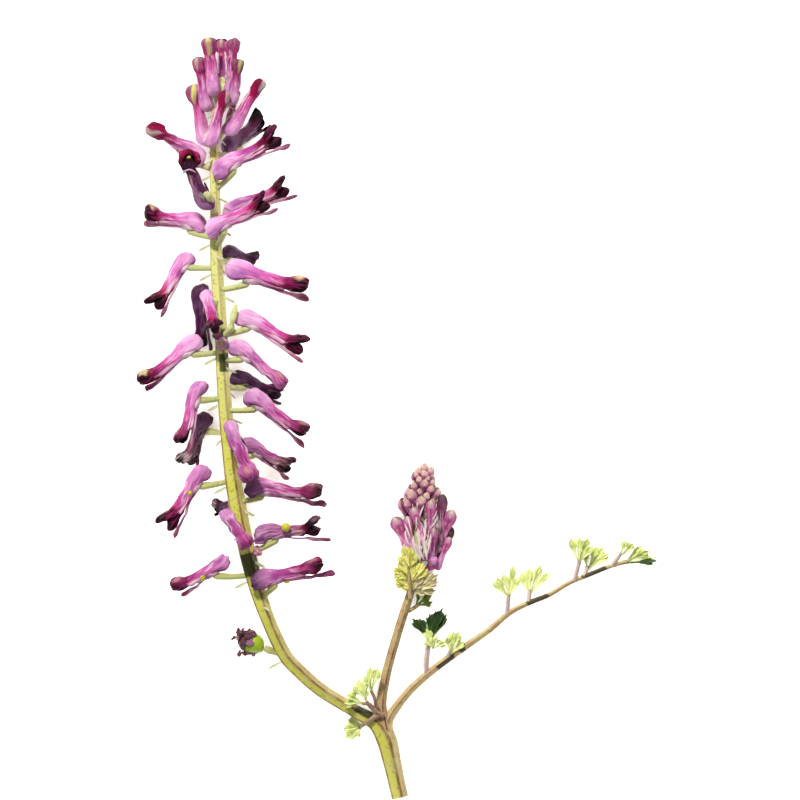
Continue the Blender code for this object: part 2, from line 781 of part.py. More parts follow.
def make_withered_flower():
    """The dried petals round the fruit's far end: a cup with ragged tips."""
    cup = stalk("withered_flower", DRIED_CUP)
    centre = on_sheet(*DRIED_CENTRE)
    tips = []
    for i in range(DRIED_PETALS):
        turn = i * GOLDEN_ANGLE
        lean = math.radians(at_age(DRIED_SPREAD, i / DRIED_PETALS))
        radial = Vector(
            (-math.cos(lean), math.sin(lean) * math.cos(turn), math.sin(lean) * math.sin(turn))
        )
        tip = centre + radial * DRIED_REACH * STEP
        root_radius, tip_radius = DRIED_RADII
        tips.append(rod("tip", [(centre, root_radius * STEP), (tip, tip_radius * STEP)], BRISTLE))
    fuse(cup, tips)
    return finish_node(cup, WITHERED)


def main():
    make_stem()
    for bloom in BLOOMS:
        make_bloom(bloom)
    make_bud_head()
    make_leaf(
        "long_leaf",
        [LONG_LEAF_STALK, *LONG_LEAF_PETIOLULES],
        LONG_LEAF_LEAFLETS,
        YOUNG_LEAF,
    )
    make_leaf("dark_leaf", [DARK_LEAF_STALK], DARK_LEAFLETS, DARK_LEAF)
    make_leaf("stalk_leaflet", [STALK_LEAFLET_STALK], STALK_LEAFLETS, DARK_LEAF)
    make_leaf("fork_leaf", [FORK_LEAF_STALK], FORK_LEAF_LEAFLETS, YOUNG_LEAF)
    make_leaf("fork_leaflet", [], FORK_LEAFLET, YOUNG_LEAF)
    make_leaf("ruff_leaf", [], RUFF_LEAFLETS, YOUNG_LEAF)
    finish_node(stalk("fruit", FRUIT, ROUND_STEM), FRUIT_GREEN)
    finish_node(stalk("young_pod", POD), FRUIT_GREEN)
    make_withered_flower()


main()
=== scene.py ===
# %% [markdown]
# # A cut sprig of fumitory
#
# Fumitory is a thin-stemmed wild flower. This sprig has been cut and laid on a white table, and
# we look straight down on it: one long loose raceme of tube-shaped flowers with dark mouths, one
# short head of buds, and a few finely divided leaves.
#
# The solid model gives every piece its place. In this lesson each of its plain pieces is
# replaced by a finer one of the same form, and each gets a material made of nodes.

# %% Load the solid model
import math
from dataclasses import dataclass

import bmesh
import bpy
from mathutils import Matrix, Vector, noise


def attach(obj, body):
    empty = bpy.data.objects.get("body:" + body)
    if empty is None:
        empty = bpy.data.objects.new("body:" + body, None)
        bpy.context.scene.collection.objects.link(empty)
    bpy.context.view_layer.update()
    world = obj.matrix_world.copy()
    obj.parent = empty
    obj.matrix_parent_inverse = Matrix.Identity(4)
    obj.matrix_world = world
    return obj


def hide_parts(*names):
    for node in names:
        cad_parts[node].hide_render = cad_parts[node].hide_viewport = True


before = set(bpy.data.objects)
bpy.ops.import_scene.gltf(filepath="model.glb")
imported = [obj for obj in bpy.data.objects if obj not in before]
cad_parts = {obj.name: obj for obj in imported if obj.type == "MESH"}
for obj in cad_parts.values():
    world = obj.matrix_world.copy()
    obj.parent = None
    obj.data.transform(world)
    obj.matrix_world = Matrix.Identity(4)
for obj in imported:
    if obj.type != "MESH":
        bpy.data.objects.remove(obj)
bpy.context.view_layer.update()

print(len(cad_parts), "solid pieces")

# %% [markdown]
# ## The sheet
#
# The sprig was drawn on a sheet of square steps, 0.12 mm each, with x to the right, y down the
# sheet and heights above the table in the same steps. We keep those steps here, because they
# are easy to read off the picture, and one function turns them to metres.

# %% A point of the sheet
STEP = 0.00012
SHEET_MIDDLE = (397.0, 420.0)
MM = 0.001
UP = Vector((0, 0, 1))
GOLDEN_ANGLE = math.pi * (3 - math.sqrt(5))


def on_sheet(x, y, height):
    return Vector((x - SHEET_MIDDLE[0], SHEET_MIDDLE[1] - y, height)) * STEP


def beside(way, face=UP):
    """Two directions square to the way: to its side, and towards its face."""
    side = way.cross(face).normalized()
    return side, side.cross(way).normalized()


print("one step is", round(STEP / MM, 2), "mm")

# %% [markdown]
# ## Camera, table and light
#
# The picture was taken from straight above, from far enough away that nothing looks nearer than
# the rest. A long lens 1.6 m up gives that. The 800 steps of the sheet's width are 96 mm.
#
# The table is plain white. A soft panel beyond the top of the picture lights the sprig, so that
# each flower shades what lies under it, and an even white sky fills those shadows. The panel
# would also draw the whole sprig on the table as a grey shadow, which the picture doesn't have.
# Light linking lets a lamp light some things and not others, so the table gets a broad lamp of
# its own, right above it, that leaves only a faint soft shadow.

# %% Camera
PICTURE_STEPS = 800
AXIS_HEIGHT = 55  # of the long raceme over the table, in steps
PICTURE_MIDDLE = on_sheet(PICTURE_STEPS / 2, PICTURE_STEPS / 2, AXIS_HEIGHT)
LENS, SENSOR = 600.0, 36.0  # mm
DISTANCE = PICTURE_STEPS * STEP * LENS / SENSOR


def placed(name, data):
    """An object in the scene that shows this camera, lamp or mesh."""
    made = bpy.data.objects.new(name, data)
    bpy.context.scene.collection.objects.link(made)
    return made


camera = placed("camera", bpy.data.cameras.new("camera"))
camera.data.lens, camera.data.sensor_width = LENS, SENSOR
camera.data.clip_start, camera.data.clip_end = 0.05, 20.0
camera.location = PICTURE_MIDDLE + UP * DISTANCE
bpy.context.scene.camera = camera
bpy.context.scene.view_settings.view_transform = "Standard"
print("camera", round(DISTANCE, 2), "m up")


# %% Colours and nodes
def linear(hex_colour):
    """An sRGB hex colour as the linear values that Blender's sockets hold."""
    parts = [int(hex_colour[i:i + 2], 16) / 255 for i in (1, 3, 5)]
    return (*[c / 12.92 if c < 0.04045 else ((c + 0.055) / 1.055) ** 2.4 for c in parts], 1.0)


def add(tree, kind, inputs=None, out=0, stops=(), **settings):
    """Adds a node with its settings, its colour stops, and its inputs as values or as links,
    and gives the socket that carries its result."""
    node = tree.nodes.new(kind)
    for name, value in settings.items():
        setattr(node, name, value)
    for i, (place, colour) in enumerate(stops):
        ramp = node.color_ramp.elements
        stop = ramp[i] if i < 2 else ramp.new(place)
        stop.position, stop.color = place, linear(colour)
    for socket, value in (inputs or {}).items():
        if isinstance(value, bpy.types.NodeSocket):
            tree.links.new(value, node.inputs[socket])
        else:
            node.inputs[socket].default_value = value
    return node.outputs[out] if node.outputs else node


print("white is", linear("#FFFFFF"))


# %% A surface, and how it is finished
def surface(name, attributes=(), grains=(), **sockets):
    """A material and what it can paint with: the mesh's attributes, the way up the sheet in
    metres, and noises, each with its grain in mm and its detail."""
    made = bpy.data.materials.new(name)
    made.use_nodes = True
    tree = made.node_tree
    for socket, value in sockets.items():
        tree.nodes["Principled BSDF"].inputs[socket.replace("_", " ")].default_value = value
    place = add(tree, "ShaderNodeTexCoord", out="Object")
    values = {"place": place, "up": add(tree, "ShaderNodeSeparateXYZ", {0: place}, out=1)}
    for label in attributes:
        values[label] = add(tree, "ShaderNodeAttribute", out="Fac", attribute_name=label)
    for label, grain, detail in grains:
        values[label] = add(tree, "ShaderNodeTexNoise", {
            "Vector": place, "Scale": 1 / (grain * MM), "Detail": detail})
    return made, tree, values


def finished(made, colour, rough, height, strength, depth):
    """Joins colour, roughness and relief to the shader; depth is the relief's, in mm."""
    tree = made.node_tree
    relief = add(tree, "ShaderNodeBump", {"Height": height, "Strength": strength, "Distance": depth * MM})
    for socket, value in (("Base Color", colour), ("Roughness", rough), ("Normal", relief)):
        if value is not None:
            tree.links.new(value, tree.nodes["Principled BSDF"].inputs[socket])
    return made


# Drawing paper, pressed and unglazed: matt white with the least tooth. Its fibres are about
# 0.03 mm across, too fine to show, so they are drawn 0.4 mm across.
paper, tree, values = surface("matt_white_paper", grains=[("fibres", 0.4, 3.0)], Roughness=0.9)
tone = add(tree, "ShaderNodeValToRGB", {"Fac": values["fibres"]}, stops=[(0.3, "#F3F3F3"), (0.7, "#F7F7F7")])
finished(paper, tone, None, values["fibres"], 0.1, 0.05)
print("made", paper.name)

# %% Table and light
TABLE_SIZE = 3.0
edge = TABLE_SIZE / 2
table_mesh = bpy.data.meshes.new("table")
table_mesh.from_pydata([(-edge, -edge, 0), (edge, -edge, 0), (edge, edge, 0), (-edge, edge, 0)], [],
                       [(0, 1, 2, 3)])
table_mesh.materials.append(paper)
table = placed("table", table_mesh)

SKY_STRENGTH = 0.41
LAMPS = [  # name, place, size, watts
    ("panel", Vector((-0.22, 0.72, 0.88)), 0.12, 17.2),
    ("table lamp", Vector((0.0, 0.1, 1.3)), 1.0, 50.0)]

sky = bpy.data.worlds.new("white sky")
sky.use_nodes = True
sky.node_tree.nodes["Background"].inputs["Color"].default_value = linear("#FCFDFF")
sky.node_tree.nodes["Background"].inputs["Strength"].default_value = SKY_STRENGTH
bpy.context.scene.world = sky

lit_by = {}
for name, place, size, watts in LAMPS:
    lamp = placed(name, bpy.data.lights.new(name, "AREA"))
    lamp.data.size, lamp.data.energy, lamp.data.color = size, watts, linear("#FFF9F0")[:3]
    lamp.matrix_world = Matrix.Translation(place) @ place.to_track_quat("Z", "Y").to_matrix().to_4x4()
    lit_by[name] = bpy.data.collections.new("lit by the " + name)
    lamp.light_linking.receiver_collection = lit_by[name]
lit_by["table lamp"].objects.link(table)
print(len(lit_by), "lamps")

# %% [markdown]
# ## Skins
#
# Petals, leaves and stems are thin closed shapes that grow along a line. A petal could be a
# sheet with a Solidify modifier, but on the plant it is thick at the keel and thin at the rim.
# So we loft them: rings of points, one after the other, joined by faces and closed at both
# ends, where every ring has its own outline. A `Skin` gathers the lofts of one piece.
#
# With every point it stores where that point is on its petal or leaf, as attributes: `along`
# from base to tip, `around` from the middle to the edge, `inside` where it is the hidden inner
# face, `shade` for painted shade on flowers that lie in shadow, and on a few old ones their own
# darker tissue, and a `seed` so that no two flowers are veined alike. The materials paint with
# these, so a dark tip or a pale midrib always follows the shape.


# %% Smooth stations
def smooth_route(points, per_span):
    """Points on a smooth curve through the given ones, `per_span` to a span."""
    ends = [points[0], *points, points[-1]]
    route = []
    for a, b, c, d in zip(ends, ends[1:], ends[2:], ends[3:]):
        for i in range(per_span):
            t = i / per_span
            route.append(tuple(
                0.5 * (2 * q + (r - p) * t + (2 * p - 5 * q + 4 * r - s) * t**2
                       + (3 * q - p - 3 * r + s) * t**3)
                for p, q, r, s in zip(a, b, c, d)))
    return [*route, tuple(points[-1])]


print("0, 1, 4 made smooth:", [round(spot[0], 2) for spot in smooth_route([(0,), (1,), (4,)], 2)])

# %% Lofts that make one piece
SPUR_PART = 0.3  # of a flower's length


class Skin:
    """The lofts of one piece, and the materials that they use."""

    def __init__(self, name, *finishes, seed=0.0):
        self.name, self.finishes, self.seed = name, finishes, seed
        self.points, self.faces, self.finish = [], [], []
        self.values = {"along": [], "around": [], "inside": [], "shade": [], "seed": []}

    def loft(self, rings, finish=0, shade=0.0, spur_shade=0.0):
        """rings: for each its `along`, and its (point, around, inside) spots."""
        first = len(self.points)
        sides = len(rings[0][1])
        # shade is painted shade over the loft, and spur_shade a painted shadow over the spur's part
        shades = [shade + spur_shade * max(0.0, 1 - along / SPUR_PART) for along, _ in rings]
        for (along, ring), dark in zip(rings, shades):
            for point, around, inside in ring:
                self.spot(point, along, around, inside, dark)
        for k in range(len(rings) - 1):
            for i in range(sides):
                j = (i + 1) % sides
                near, far = first + k * sides, first + (k + 1) * sides
                self.face((near + i, near + j, far + j, far + i), finish)
        for k in (0, len(rings) - 1):
            along, ring = rings[k]
            middle = sum((spot[0] for spot in ring), Vector()) / sides
            pole = len(self.points)
            self.spot(middle, along, ring[0][1], ring[sides // 2][2], shades[k])
            for i in range(sides):
                start = first + k * sides
                self.face((start + i, start + (i + 1) % sides, pole), finish)

    def spot(self, point, along, around, inside, shade):
        self.points.append((point.x, point.y, max(point.z, 0.0)))
        for name, value in zip(self.values, (along, around, inside, shade, self.seed)):
            self.values[name].append(value)

    def face(self, corners, finish):
        self.faces.append(corners)
        self.finish.append(finish)

    def mesh(self):
        mesh = bpy.data.meshes.new(self.name)
        mesh.from_pydata(self.points, [], self.faces)
        for name, values in self.values.items():
            mesh.attributes.new(name, "FLOAT", "POINT").data.foreach_set("value", values)
        mesh.polygons.foreach_set("material_index", self.finish)
        for finish in self.finishes:
            mesh.materials.append(finish)
        turned = bmesh.new()
        turned.from_mesh(mesh)
        bmesh.ops.recalc_face_normals(turned, faces=turned.faces)
        turned.to_mesh(mesh)
        turned.free()
        mesh.shade_smooth()
        return mesh

    def piece(self, *nodes):
        """Makes the object, in the place of the solid pieces that it replaces."""
        return dress(placed(self.name, self.mesh()), *nodes)


print("a skin stores", ", ".join(Skin("trial").values))

# %% In the solid pieces' place
SLOTS = {"stem": "stem_green", "bud_head": "bud_pink", "dark_leaf": "dark_leaf",
         "stalk_leaflet": "dark_leaf", "fruit": "fruit_green", "young_pod": "fruit_green",
         "withered_flower": "withered_petal"}
SLOTS |= {leaf: "young_leaf" for leaf in ("long_leaf", "fork_leaf", "fork_leaflet", "ruff_leaf")}
SLOTS |= {"flower_" + name: "shaded_petal" for name in ("10", "12", "17", "20", "25", "28", "31", "34")}


def dress(made, *nodes):
    """Lights the object, and lets it stand in for the solid model's nodes."""
    lit_by["panel"].objects.link(made)
    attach(made, "root")
    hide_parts(*nodes)
    return made


print(len(SLOTS), "nodes with a slot of their own")

# %% A tongue-shaped blade
BLADE_SPANS = 4  # from the middle to each edge
LEAF_SHAPE = [(0, 0.28), (0.2, 0.5), (0.45, 0.86), (0.68, 1.0), (0.86, 0.8), (0.96, 0.42), (1, 0.05)]


def tongue(skin, start, end, face, width, finish=0, shade=0.0, shape=LEAF_SHAPE, thick=1.3,
           fold=0.0, curl=0.0, cup=0.0, ruffle=0.0, seed=0.0):
    """A thin blade from start to end, all in metres; widths and the rest are in steps.

    face is the way that its upper side looks. shape gives the half width at each part of the
    length. fold raises its edges as a V, cup as a bowl, and curl bends it along its length.
    """
    way = end - start
    across, over = beside(way, face)
    rings = []
    for place, share in shape:
        half = max(share, 0.02) * width / 2 * STEP
        middle = start + way * place + over * curl * STEP * math.sin(math.pi * min(place, 1))

        def spot(s, side):
            lift = (fold * abs(s) + cup * s * s) * min(1, share * 1.5)
            wave = ruffle * abs(s) * noise.noise(Vector((place * 4 + seed, s * 1.5, seed)))
            lift += side * thick / 2 * (1 - 0.8 * s * s) * min(1, share * 2 + 0.2) + wave
            return middle + across * half * s + over * lift * STEP

        steps = [i / BLADE_SPANS for i in range(-BLADE_SPANS, BLADE_SPANS + 1)]
        ring = [(spot(s, 1), abs(s), 0.0) for s in steps]
        ring += [(spot(s, -1), abs(s), 1.0) for s in steps[-2:0:-1]]
        rings.append((place, ring))
    skin.loft(rings, finish, shade)


print("a blade has", (2 * BLADE_SPANS + 1) * 2 - 2, "points to a ring")

# %% [markdown]
# ## Petal skin
#
# A fumitory petal is a thin film of watery cells, so it is soft and a little glossy, lets some
# light through, and creases along its length. Its colour runs along the flower: pale lilac on
# the round spur, mauve-pink on the tube, crimson and then almost black at the mouth.
#
# That could be painted by hand as an image for each flower. A colour ramp over `along` does it
# for all of them, and stays sharp from any distance. Over the ramp go layers of paint, each laid
# only where a few soft steps allow it: streaks that follow the veins, a pale band on each flank
# that is in part a painted highlight, painted shade on the lower side, and a yellow-green keel
# on the crest of the hood. The lower flowers are older and more violet.
#
# The flowers under the stem get little light through their neighbours and look deep purple.
# Their skins carry `shade`, which paints that shadow into the colour: painted shade, deep purple
# to near black, with painted violet highlights in it. On a few old flowers it also stands for
# their own darker tissue, and low on the sheet it brings pale dry patches.

# %% Soft steps and layers of paint
OVER, TIMES = "MIX", "MULTIPLY"  # how a layer meets the colour under it


def reckon(tree, values, *terms):
    """A sum of products. A factor is a number, a socket, a value's name, or a soft step: a
    value's name, where the step starts and ends, and what it goes from and to if not 0 and 1."""
    whole = None
    for term in terms:
        product = None
        for factor in term:
            if isinstance(factor, tuple):
                step = {0: values[factor[0]], **dict(enumerate(factor[1:], 1))}
                factor = add(tree, "ShaderNodeMapRange", step, interpolation_type="SMOOTHSTEP")
            elif isinstance(factor, str):
                factor = values[factor]
            product = factor if product is None else add(
                tree, "ShaderNodeMath", {0: product, 1: factor}, operation="MULTIPLY")
        whole = product if whole is None else add(
            tree, "ShaderNodeMath", {0: whole, 1: product}, operation="ADD")
    return whole


def painted(tree, values, colour, layers):
    """The colour under layers of paint: for each how it is laid, its colour, and the factors
    of how much of it shows."""
    for blend, paint, *factors in layers:
        if isinstance(paint, str):
            paint = linear(paint)
        colour = add(tree, "ShaderNodeMix", {0: reckon(tree, values, factors), 6: colour, 7: paint},
                     out=2, data_type="RGBA", blend_type=blend)
    return colour


def veins(tree, values, along, around, count, stretch):
    """Veins that run along a petal or stem, as noise drawn out lengthwise."""
    vector = add(tree, "ShaderNodeCombineXYZ", {
        0: reckon(tree, values, [along, stretch]), 1: reckon(tree, values, [around, count]),
        2: values["seed"]})
    return add(tree, "ShaderNodeTexNoise", {"Vector": vector, "Scale": 1.0, "Detail": 2.0})


print("paint is laid as", OVER, "or", TIMES)

# %% Petal material
CELLS = 0.12 * MM  # a petal's cells are about a third of this, drawn coarser so that they show
OLD_FROM, OLD_TO = 0.010, -0.014  # metres up the sheet


def petal_material(name, stops, streak="#F3D3E4", keel=None, keel_from=0.7, keel_to=1.1,
                   keel_width=0.13, keel_core=0.55, veined=0.85, aged=0.6, shaded="#26062A",
                   flank="#6E2458", flank_from=0.72, flanked=0.68):
    """Petal film. streak is the colour of a pale veined band on each flank, in part a painted
    highlight, and veined how strong the dark veins are, aged is how far it turns violet, flank the
    colour of painted shade on its lower side, shaded that of painted shade on flowers in shadow,
    and the places are shares of the flower's length, or of the way round for keel_width and
    flank_from."""
    made, tree, values = surface(
        name, ("along", "around", "inside", "shade", "seed"), [("blotch", 1.0, 4.0), ("cloud", 3.1, 2.0)],
        Roughness=0.5, Subsurface_Weight=0.06, Specular_IOR_Level=0.09, Subsurface_Scale=1.0,
        Subsurface_Radius=(0.9 * MM, 0.3 * MM, 0.5 * MM))
    values["fine"] = veins(tree, values, "along", "around", 15.0, 4.0)
    values["broad"] = veins(tree, values, "along", "around", 6.0, 5.0)
    values["cells"] = add(tree, "ShaderNodeTexVoronoi", {"Vector": values["place"], "Scale": 1 / CELLS})
    values["moved"] = reckon(tree, values, ["along"], [("blotch", 0.3, 0.7, -0.05, 0.05)],
                             [("fine", 0.35, 0.65, -0.03, 0.03)])
    colour = add(tree, "ShaderNodeValToRGB", {"Fac": values["moved"]}, stops=stops)
    layers = [
        (TIMES, "#BA8ED0", ("cloud", 0.46, 0.62, 0.0, 0.6)),
        (OVER, "#DEB6DC", ("cloud", 0.52, 0.36, 0.0, 0.4), ("moved", 0.5, 0.2)),
        (TIMES, "#C48ABA", ("up", OLD_FROM, OLD_TO, 0.0, aged)),
        (OVER, "#EBC8E2", ("broad", 0.5, 0.66, 0.0, 0.5), ("moved", 0.8, 0.55),
         ("moved", 0.1, 0.35, 0.4, 1.0)),
        # a pale veined band on each flank, in part a painted highlight
        (OVER, streak, ("around", 0.44, 0.6), ("around", 0.82, 0.66),
         ("moved", 0.36, 0.66), ("moved", 0.8, 0.72), ("fine", 0.66, 0.4, 0.0, 0.9)),
        (OVER, "#7A1450", ("fine", 0.53, 0.64), ("moved", 0.15, 0.75, 0.15 * veined, veined)),
        # painted shade: the petal's lower side darker
        (OVER, flank, ("around", flank_from, flank_from + 0.22, 0.0, flanked)),
        (OVER, "#7E1E56", ("around", 0.09, 0.03, 0.0, 0.7 * veined), ("moved", 0.3, 0.55))]
    if keel:
        values["rounded"] = reckon(  # so that the keel's stripe has round ends
            tree, values, ["around"], [("along", keel_from, keel_from + 0.14, keel_width * 0.8, 0.0)],
            [("along", keel_to - 0.12, keel_to, 0.0, keel_width * 0.7)])
        tint = painted(tree, values, linear(keel), [(OVER, "#9A6470", ("fine", 0.4, 0.6, 0.0, 0.7))])
        layers += [(OVER, tint, ("rounded", keel_width, keel_width * keel_core),
                    ("moved", keel_from, keel_from + 0.1), ("along", keel_to, keel_to - 0.04))]
    # painted shade for flowers in shadow: deep purple, near black towards the mouth, with painted violet
    # highlights and, low on the sheet, pale dry patches
    dark = painted(tree, values, linear(shaded), [
        (OVER, "#080308", ("moved", 0.55, 0.9)), (OVER, "#6A3A7C", ("broad", 0.5, 0.66, 0.0, 0.3)),
        (OVER, "#B39AA0", ("up", 0.0, -0.003), ("cloud", 0.46, 0.6), ("fine", 0.4, 0.6))])
    # the hidden inner faces and the blades' undersides are painted near black as shade, and the flowers in
    # shadow take the painted shade
    layers += [(OVER, "#2C0618", "inside"), (OVER, dark, "shade")]
    rough = reckon(tree, values, [("blotch", 0.3, 0.7, 0.38, 0.56)], [("moved", 0.7, 0.86, 0.0, 0.12)])
    height = reckon(tree, values, ["cells", 0.15], ["fine"], ["broad", 2.0], ["blotch"])
    return finished(made, painted(tree, values, colour, layers), rough, height, 0.75, 0.09)


print("petal cells are drawn", round(CELLS / MM, 2), "mm across")

# %% The petals' films
OPEN_STOPS = [(0, "#CC98C4"), (1, "#0A0104"), (0.2, "#CA86BC"), (0.44, "#C86AAE"),
              (0.64, "#BC4A94"), (0.75, "#92144A"), (0.82, "#3E0616"), (0.89, "#100206")]
KEELED_STOPS = [*OPEN_STOPS[:5], (0.79, "#7A0E3A"), (0.85, "#340616"), (0.92, "#16030A")]
DULL_STOPS = [*OPEN_STOPS[:5], (0.79, "#8E3466"), (0.87, "#702848"), (0.95, "#3A1020")]
BUD_STOPS = [(0, "#C892BE"), (1, "#7E5A66"), (0.3, "#BE76AC"), (0.56, "#B85494"),
             (0.7, "#A02A66"), (0.86, "#A04A78")]
CRIMSON_BUD_STOPS = [*BUD_STOPS[:1], (1, "#6E1030"), *BUD_STOPS[2:4], (0.68, "#980A48"), (0.86, "#860A3E")]
PINK_BUD_STOPS = [(0, "#C892BE"), (1, "#8E4A7A"), (0.3, "#C07CB0"), (0.55, "#BC60A0"), (0.8, "#BC70A6")]
# Fresh petal of an open flower, grown: thin waxy tissue, so a dull gloss on veined lilac that
# darkens to near black at the lip.
open_petal = petal_material("open_petal_film", OPEN_STOPS)
# The same petal turned so that its thicker keel shows: a matt cream patch behind the dark lip.
keeled_petal = petal_material("keeled_petal_film", KEELED_STOPS, keel="#C2B688", keel_from=0.77,
                              keel_to=1.0, keel_width=0.32, keel_core=0.4)
# An older petal, drying: browner pink, with the keel hardly paler than the rest.
dull_petal = petal_material("dull_petal_film", DULL_STOPS, keel="#9C6676", keel_from=0.74,
                            keel_to=1.0, keel_width=0.24, keel_core=0.3)
# Petals still shut in the bud, grown: tight and smooth, magenta, with an olive-grey keel.
bud_petal = petal_material("bud_petal_film", BUD_STOPS, keel="#A39A86", keel_from=0.74)
# A bud about to open: its club has gone crimson and the keel stands out silver-grey.
crimson_bud = petal_material("crimson_bud_film", CRIMSON_BUD_STOPS, keel="#A29292", keel_from=0.76,
                             keel_width=0.26, keel_core=0.7)
# A bud seen on its keel, which is still leaf tissue: a yellow-green stripe down the club.
pale_keel_bud = petal_material("pale_keeled_bud_film", BUD_STOPS, keel="#C2C070", keel_from=0.64,
                               keel_to=1.1, keel_width=0.2, keel_core=0.2)
# Late buds, paler and pinker, one pair with a dull brown-pink keel and one with none.
pink_bud = petal_material("pink_bud_film", PINK_BUD_STOPS, keel="#AE7A7C", keel_from=0.72,
                          keel_to=0.98, keel_width=0.2, keel_core=0.1)
plain_bud = petal_material("plain_bud_film", PINK_BUD_STOPS)

# Inner petal, grown: the same tissue, stained wine red to black where it meets its twin.
inner_petal = petal_material("inner_petal_film", [(0.45, "#CE9CB4"), (1, "#0C0204"), (0.62, "#A63A70"),
                             (0.76, "#6E0A32"), (0.84, "#220410"), (0.93, "#140A08")], shaded="#22060E")
# Lower petal, grown: a pale pink strap, thin enough to look washed out beside the tube.
lower_petal_film = petal_material("lower_petal_film", [(0.3, "#E2A8C8"), (1, "#9E6078"),
                                  (0.7, "#DCA4C0"), (0.9, "#D4A0BC"), (0.97, "#BC8298")], streak="#EFD2DC",
                                  veined=0.2, flanked=0.16)
# Sepal, dried on the plant: papery, cream to faded pink, without strong veins.
sepal_film = petal_material("dry_sepal_film", [(0, "#BCA47E"), (1, "#AE8498"), (0.4, "#DEC8CF")],
                            streak="#EEDCDE", veined=0.2, flanked=0.16)
print(len(bpy.data.materials), "materials so far")

# %% [markdown]
# ## Green skin
#
# The stem and the fruit are smooth and full of water, with a thin wax bloom. The stem's ridges
# have dried to tan where they catch the light, between grooves that stay yellow-green. One
# material with other colours could serve all, but stem and leaf are painted by other rules: a
# stem by its ridges and how far along it is, a leaf by its midrib and slanting side veins.

# %% Stem material
TAN_FROM, TAN_TO = -0.021, -0.032  # metres up the sheet
YOUNG_FROM, YOUNG_TO = -0.006, 0.016


def stem_material(name, groove, ridge, line, far_side, young="#D6DA96", dried="#A48E64",
                  dark="#2E1C12", painted_shadows=()):
    """Ridged stem: grooves and ridges have their own colours, one flank is darker and browner,
    its own drier tan with painted shade on it, and the upper part is paler. painted_shadows are
    shadows cast on it and painted in, in the colour dark: from and to in mm from its foot, and
    how far over from its left side, -1, to its right, 1, each begins."""
    made, tree, values = surface(
        name, ("ridge", "side", "run", "seed"), [("blotch", 1.6, 4.0), ("freckles", 0.35, 3.0)],
        Roughness=0.5, Subsurface_Weight=0.1, Specular_IOR_Level=0.25, Subsurface_Scale=1.0,
        Subsurface_Radius=(0.6 * MM, 0.6 * MM, 0.2 * MM))
    values["streaks"] = veins(tree, values, "run", "side", 14.0, 0.75 / MM)
    for label, *terms in (
            ("drier side", ["side"], ["blotch", 0.6]), ("blotched side", ["side"], ["blotch"]),
            ("streaked side", ["side"], ["streaks", 0.5]), ("crest", ["ridge"], ["streaks", 0.5]),
            ("run", ["run"], ["blotch", 1.4 * MM], [-0.7 * MM])):
        values[label] = reckon(tree, values, *terms)
    layers = [
        # one flank darker and browner: its own drier tan, with painted shade
        (OVER, far_side, ("drier side", 0.1, 0.9)), (OVER, ridge, ("ridge", 0.55, 0.85)),
        (OVER, young, ("up", YOUNG_FROM, YOUNG_TO, 0.0, 0.62)),
        (OVER, dried, ("up", TAN_FROM, TAN_TO), ("blotched side", 0.25, 0.75, 0.15, 0.85)),
        (OVER, line, ("crest", 1.0, 1.2), ("up", YOUNG_FROM, YOUNG_TO, 1.0, 0.45)),
        (OVER, "#C9C888", ("blotch", 0.35, 0.7, 0.0, 0.35)), (OVER, line, ("freckles", 0.56, 0.68, 0.0, 0.5))]
    # painted shadows, cast on the stem by the flowers and leaflets above it
    for start, end, side_from in painted_shadows:
        layers.append((OVER, dark, ("run", start * MM, (start + 0.3) * MM),
                       ("run", end * MM, (end - 0.3) * MM),
                       ("streaked side", side_from, side_from + 0.3, 0.0, 0.9)))
    return finished(made, painted(tree, values, linear(groove), layers),
                    reckon(tree, values, [("streaks", 0.3, 0.7, 0.38, 0.55)]),
                    reckon(tree, values, ["streaks"], ["blotch", 0.5]), 0.6, 0.07)


# Main stem, fresh, with a wax bloom: satin yellow-green grooves between tan ridges, and four
# painted shadows, cast by flowers and by a leaf above it.
stem_skin = stem_material(
    "waxy_stem_skin", "#BEC24A", "#BEB462", "#6E5424", "#AEA052", dark="#1E260A",
    painted_shadows=((10.0, 12.8, 0.1), (34.1, 37.2, -1.0), (59.0, 61.2, -0.3), (62.6, 64.4, 0.1)))
# Flower stalks, fresh: pale grey-green and nearly matt.
flower_stalk_skin = stem_material(
    "flower_stalk_skin", "#AEB870", "#BCC088", "#7C7A40", "#A09C62", young="#BCC690")
# Stalk of the young raceme, its skin dried: tan with red-brown lines and little gloss.
head_stalk_skin = stem_material(
    "leaf_stalk_skin", "#AC8E66", "#BCA480", "#583424", "#8A684C", young="#AA8C62", dried="#AC8E6A")
# Axis of the long leaf, its skin dried: straw tan, with four painted shadows, nearly black,
# where its leaflets shade it.
rachis_skin = stem_material(
    "leaf_rachis_skin", "#B49A70", "#C4AE86", "#60402C", "#9A7E56", young="#C2A680", dried="#BCA272",
    dark="#1E120C",
    painted_shadows=((10.6, 13.4, -0.2), (14.2, 15.2, -1.0), (24.0, 27.0, -0.9), (31.6, 35.0, -1.0)))
# Leaf stalks in the fork, dried: dull purple-brown.
brown_stalk_skin = stem_material(
    "brown_stalk_skin", "#84605A", "#A07C70", "#54363A", "#6E4E48", young="#84605A", dried="#8A665E")
# Leaflet stalks, fresh and thin: pale mauve-grey, almost see-through.
mauve_stalk_skin = stem_material(
    "mauve_stalk_skin", "#C4ACB0", "#D8C8CA", "#8E6C74", "#B0949A", young="#C4ACB0", dried="#CDBCC0")
print(len(bpy.data.materials), "materials so far")


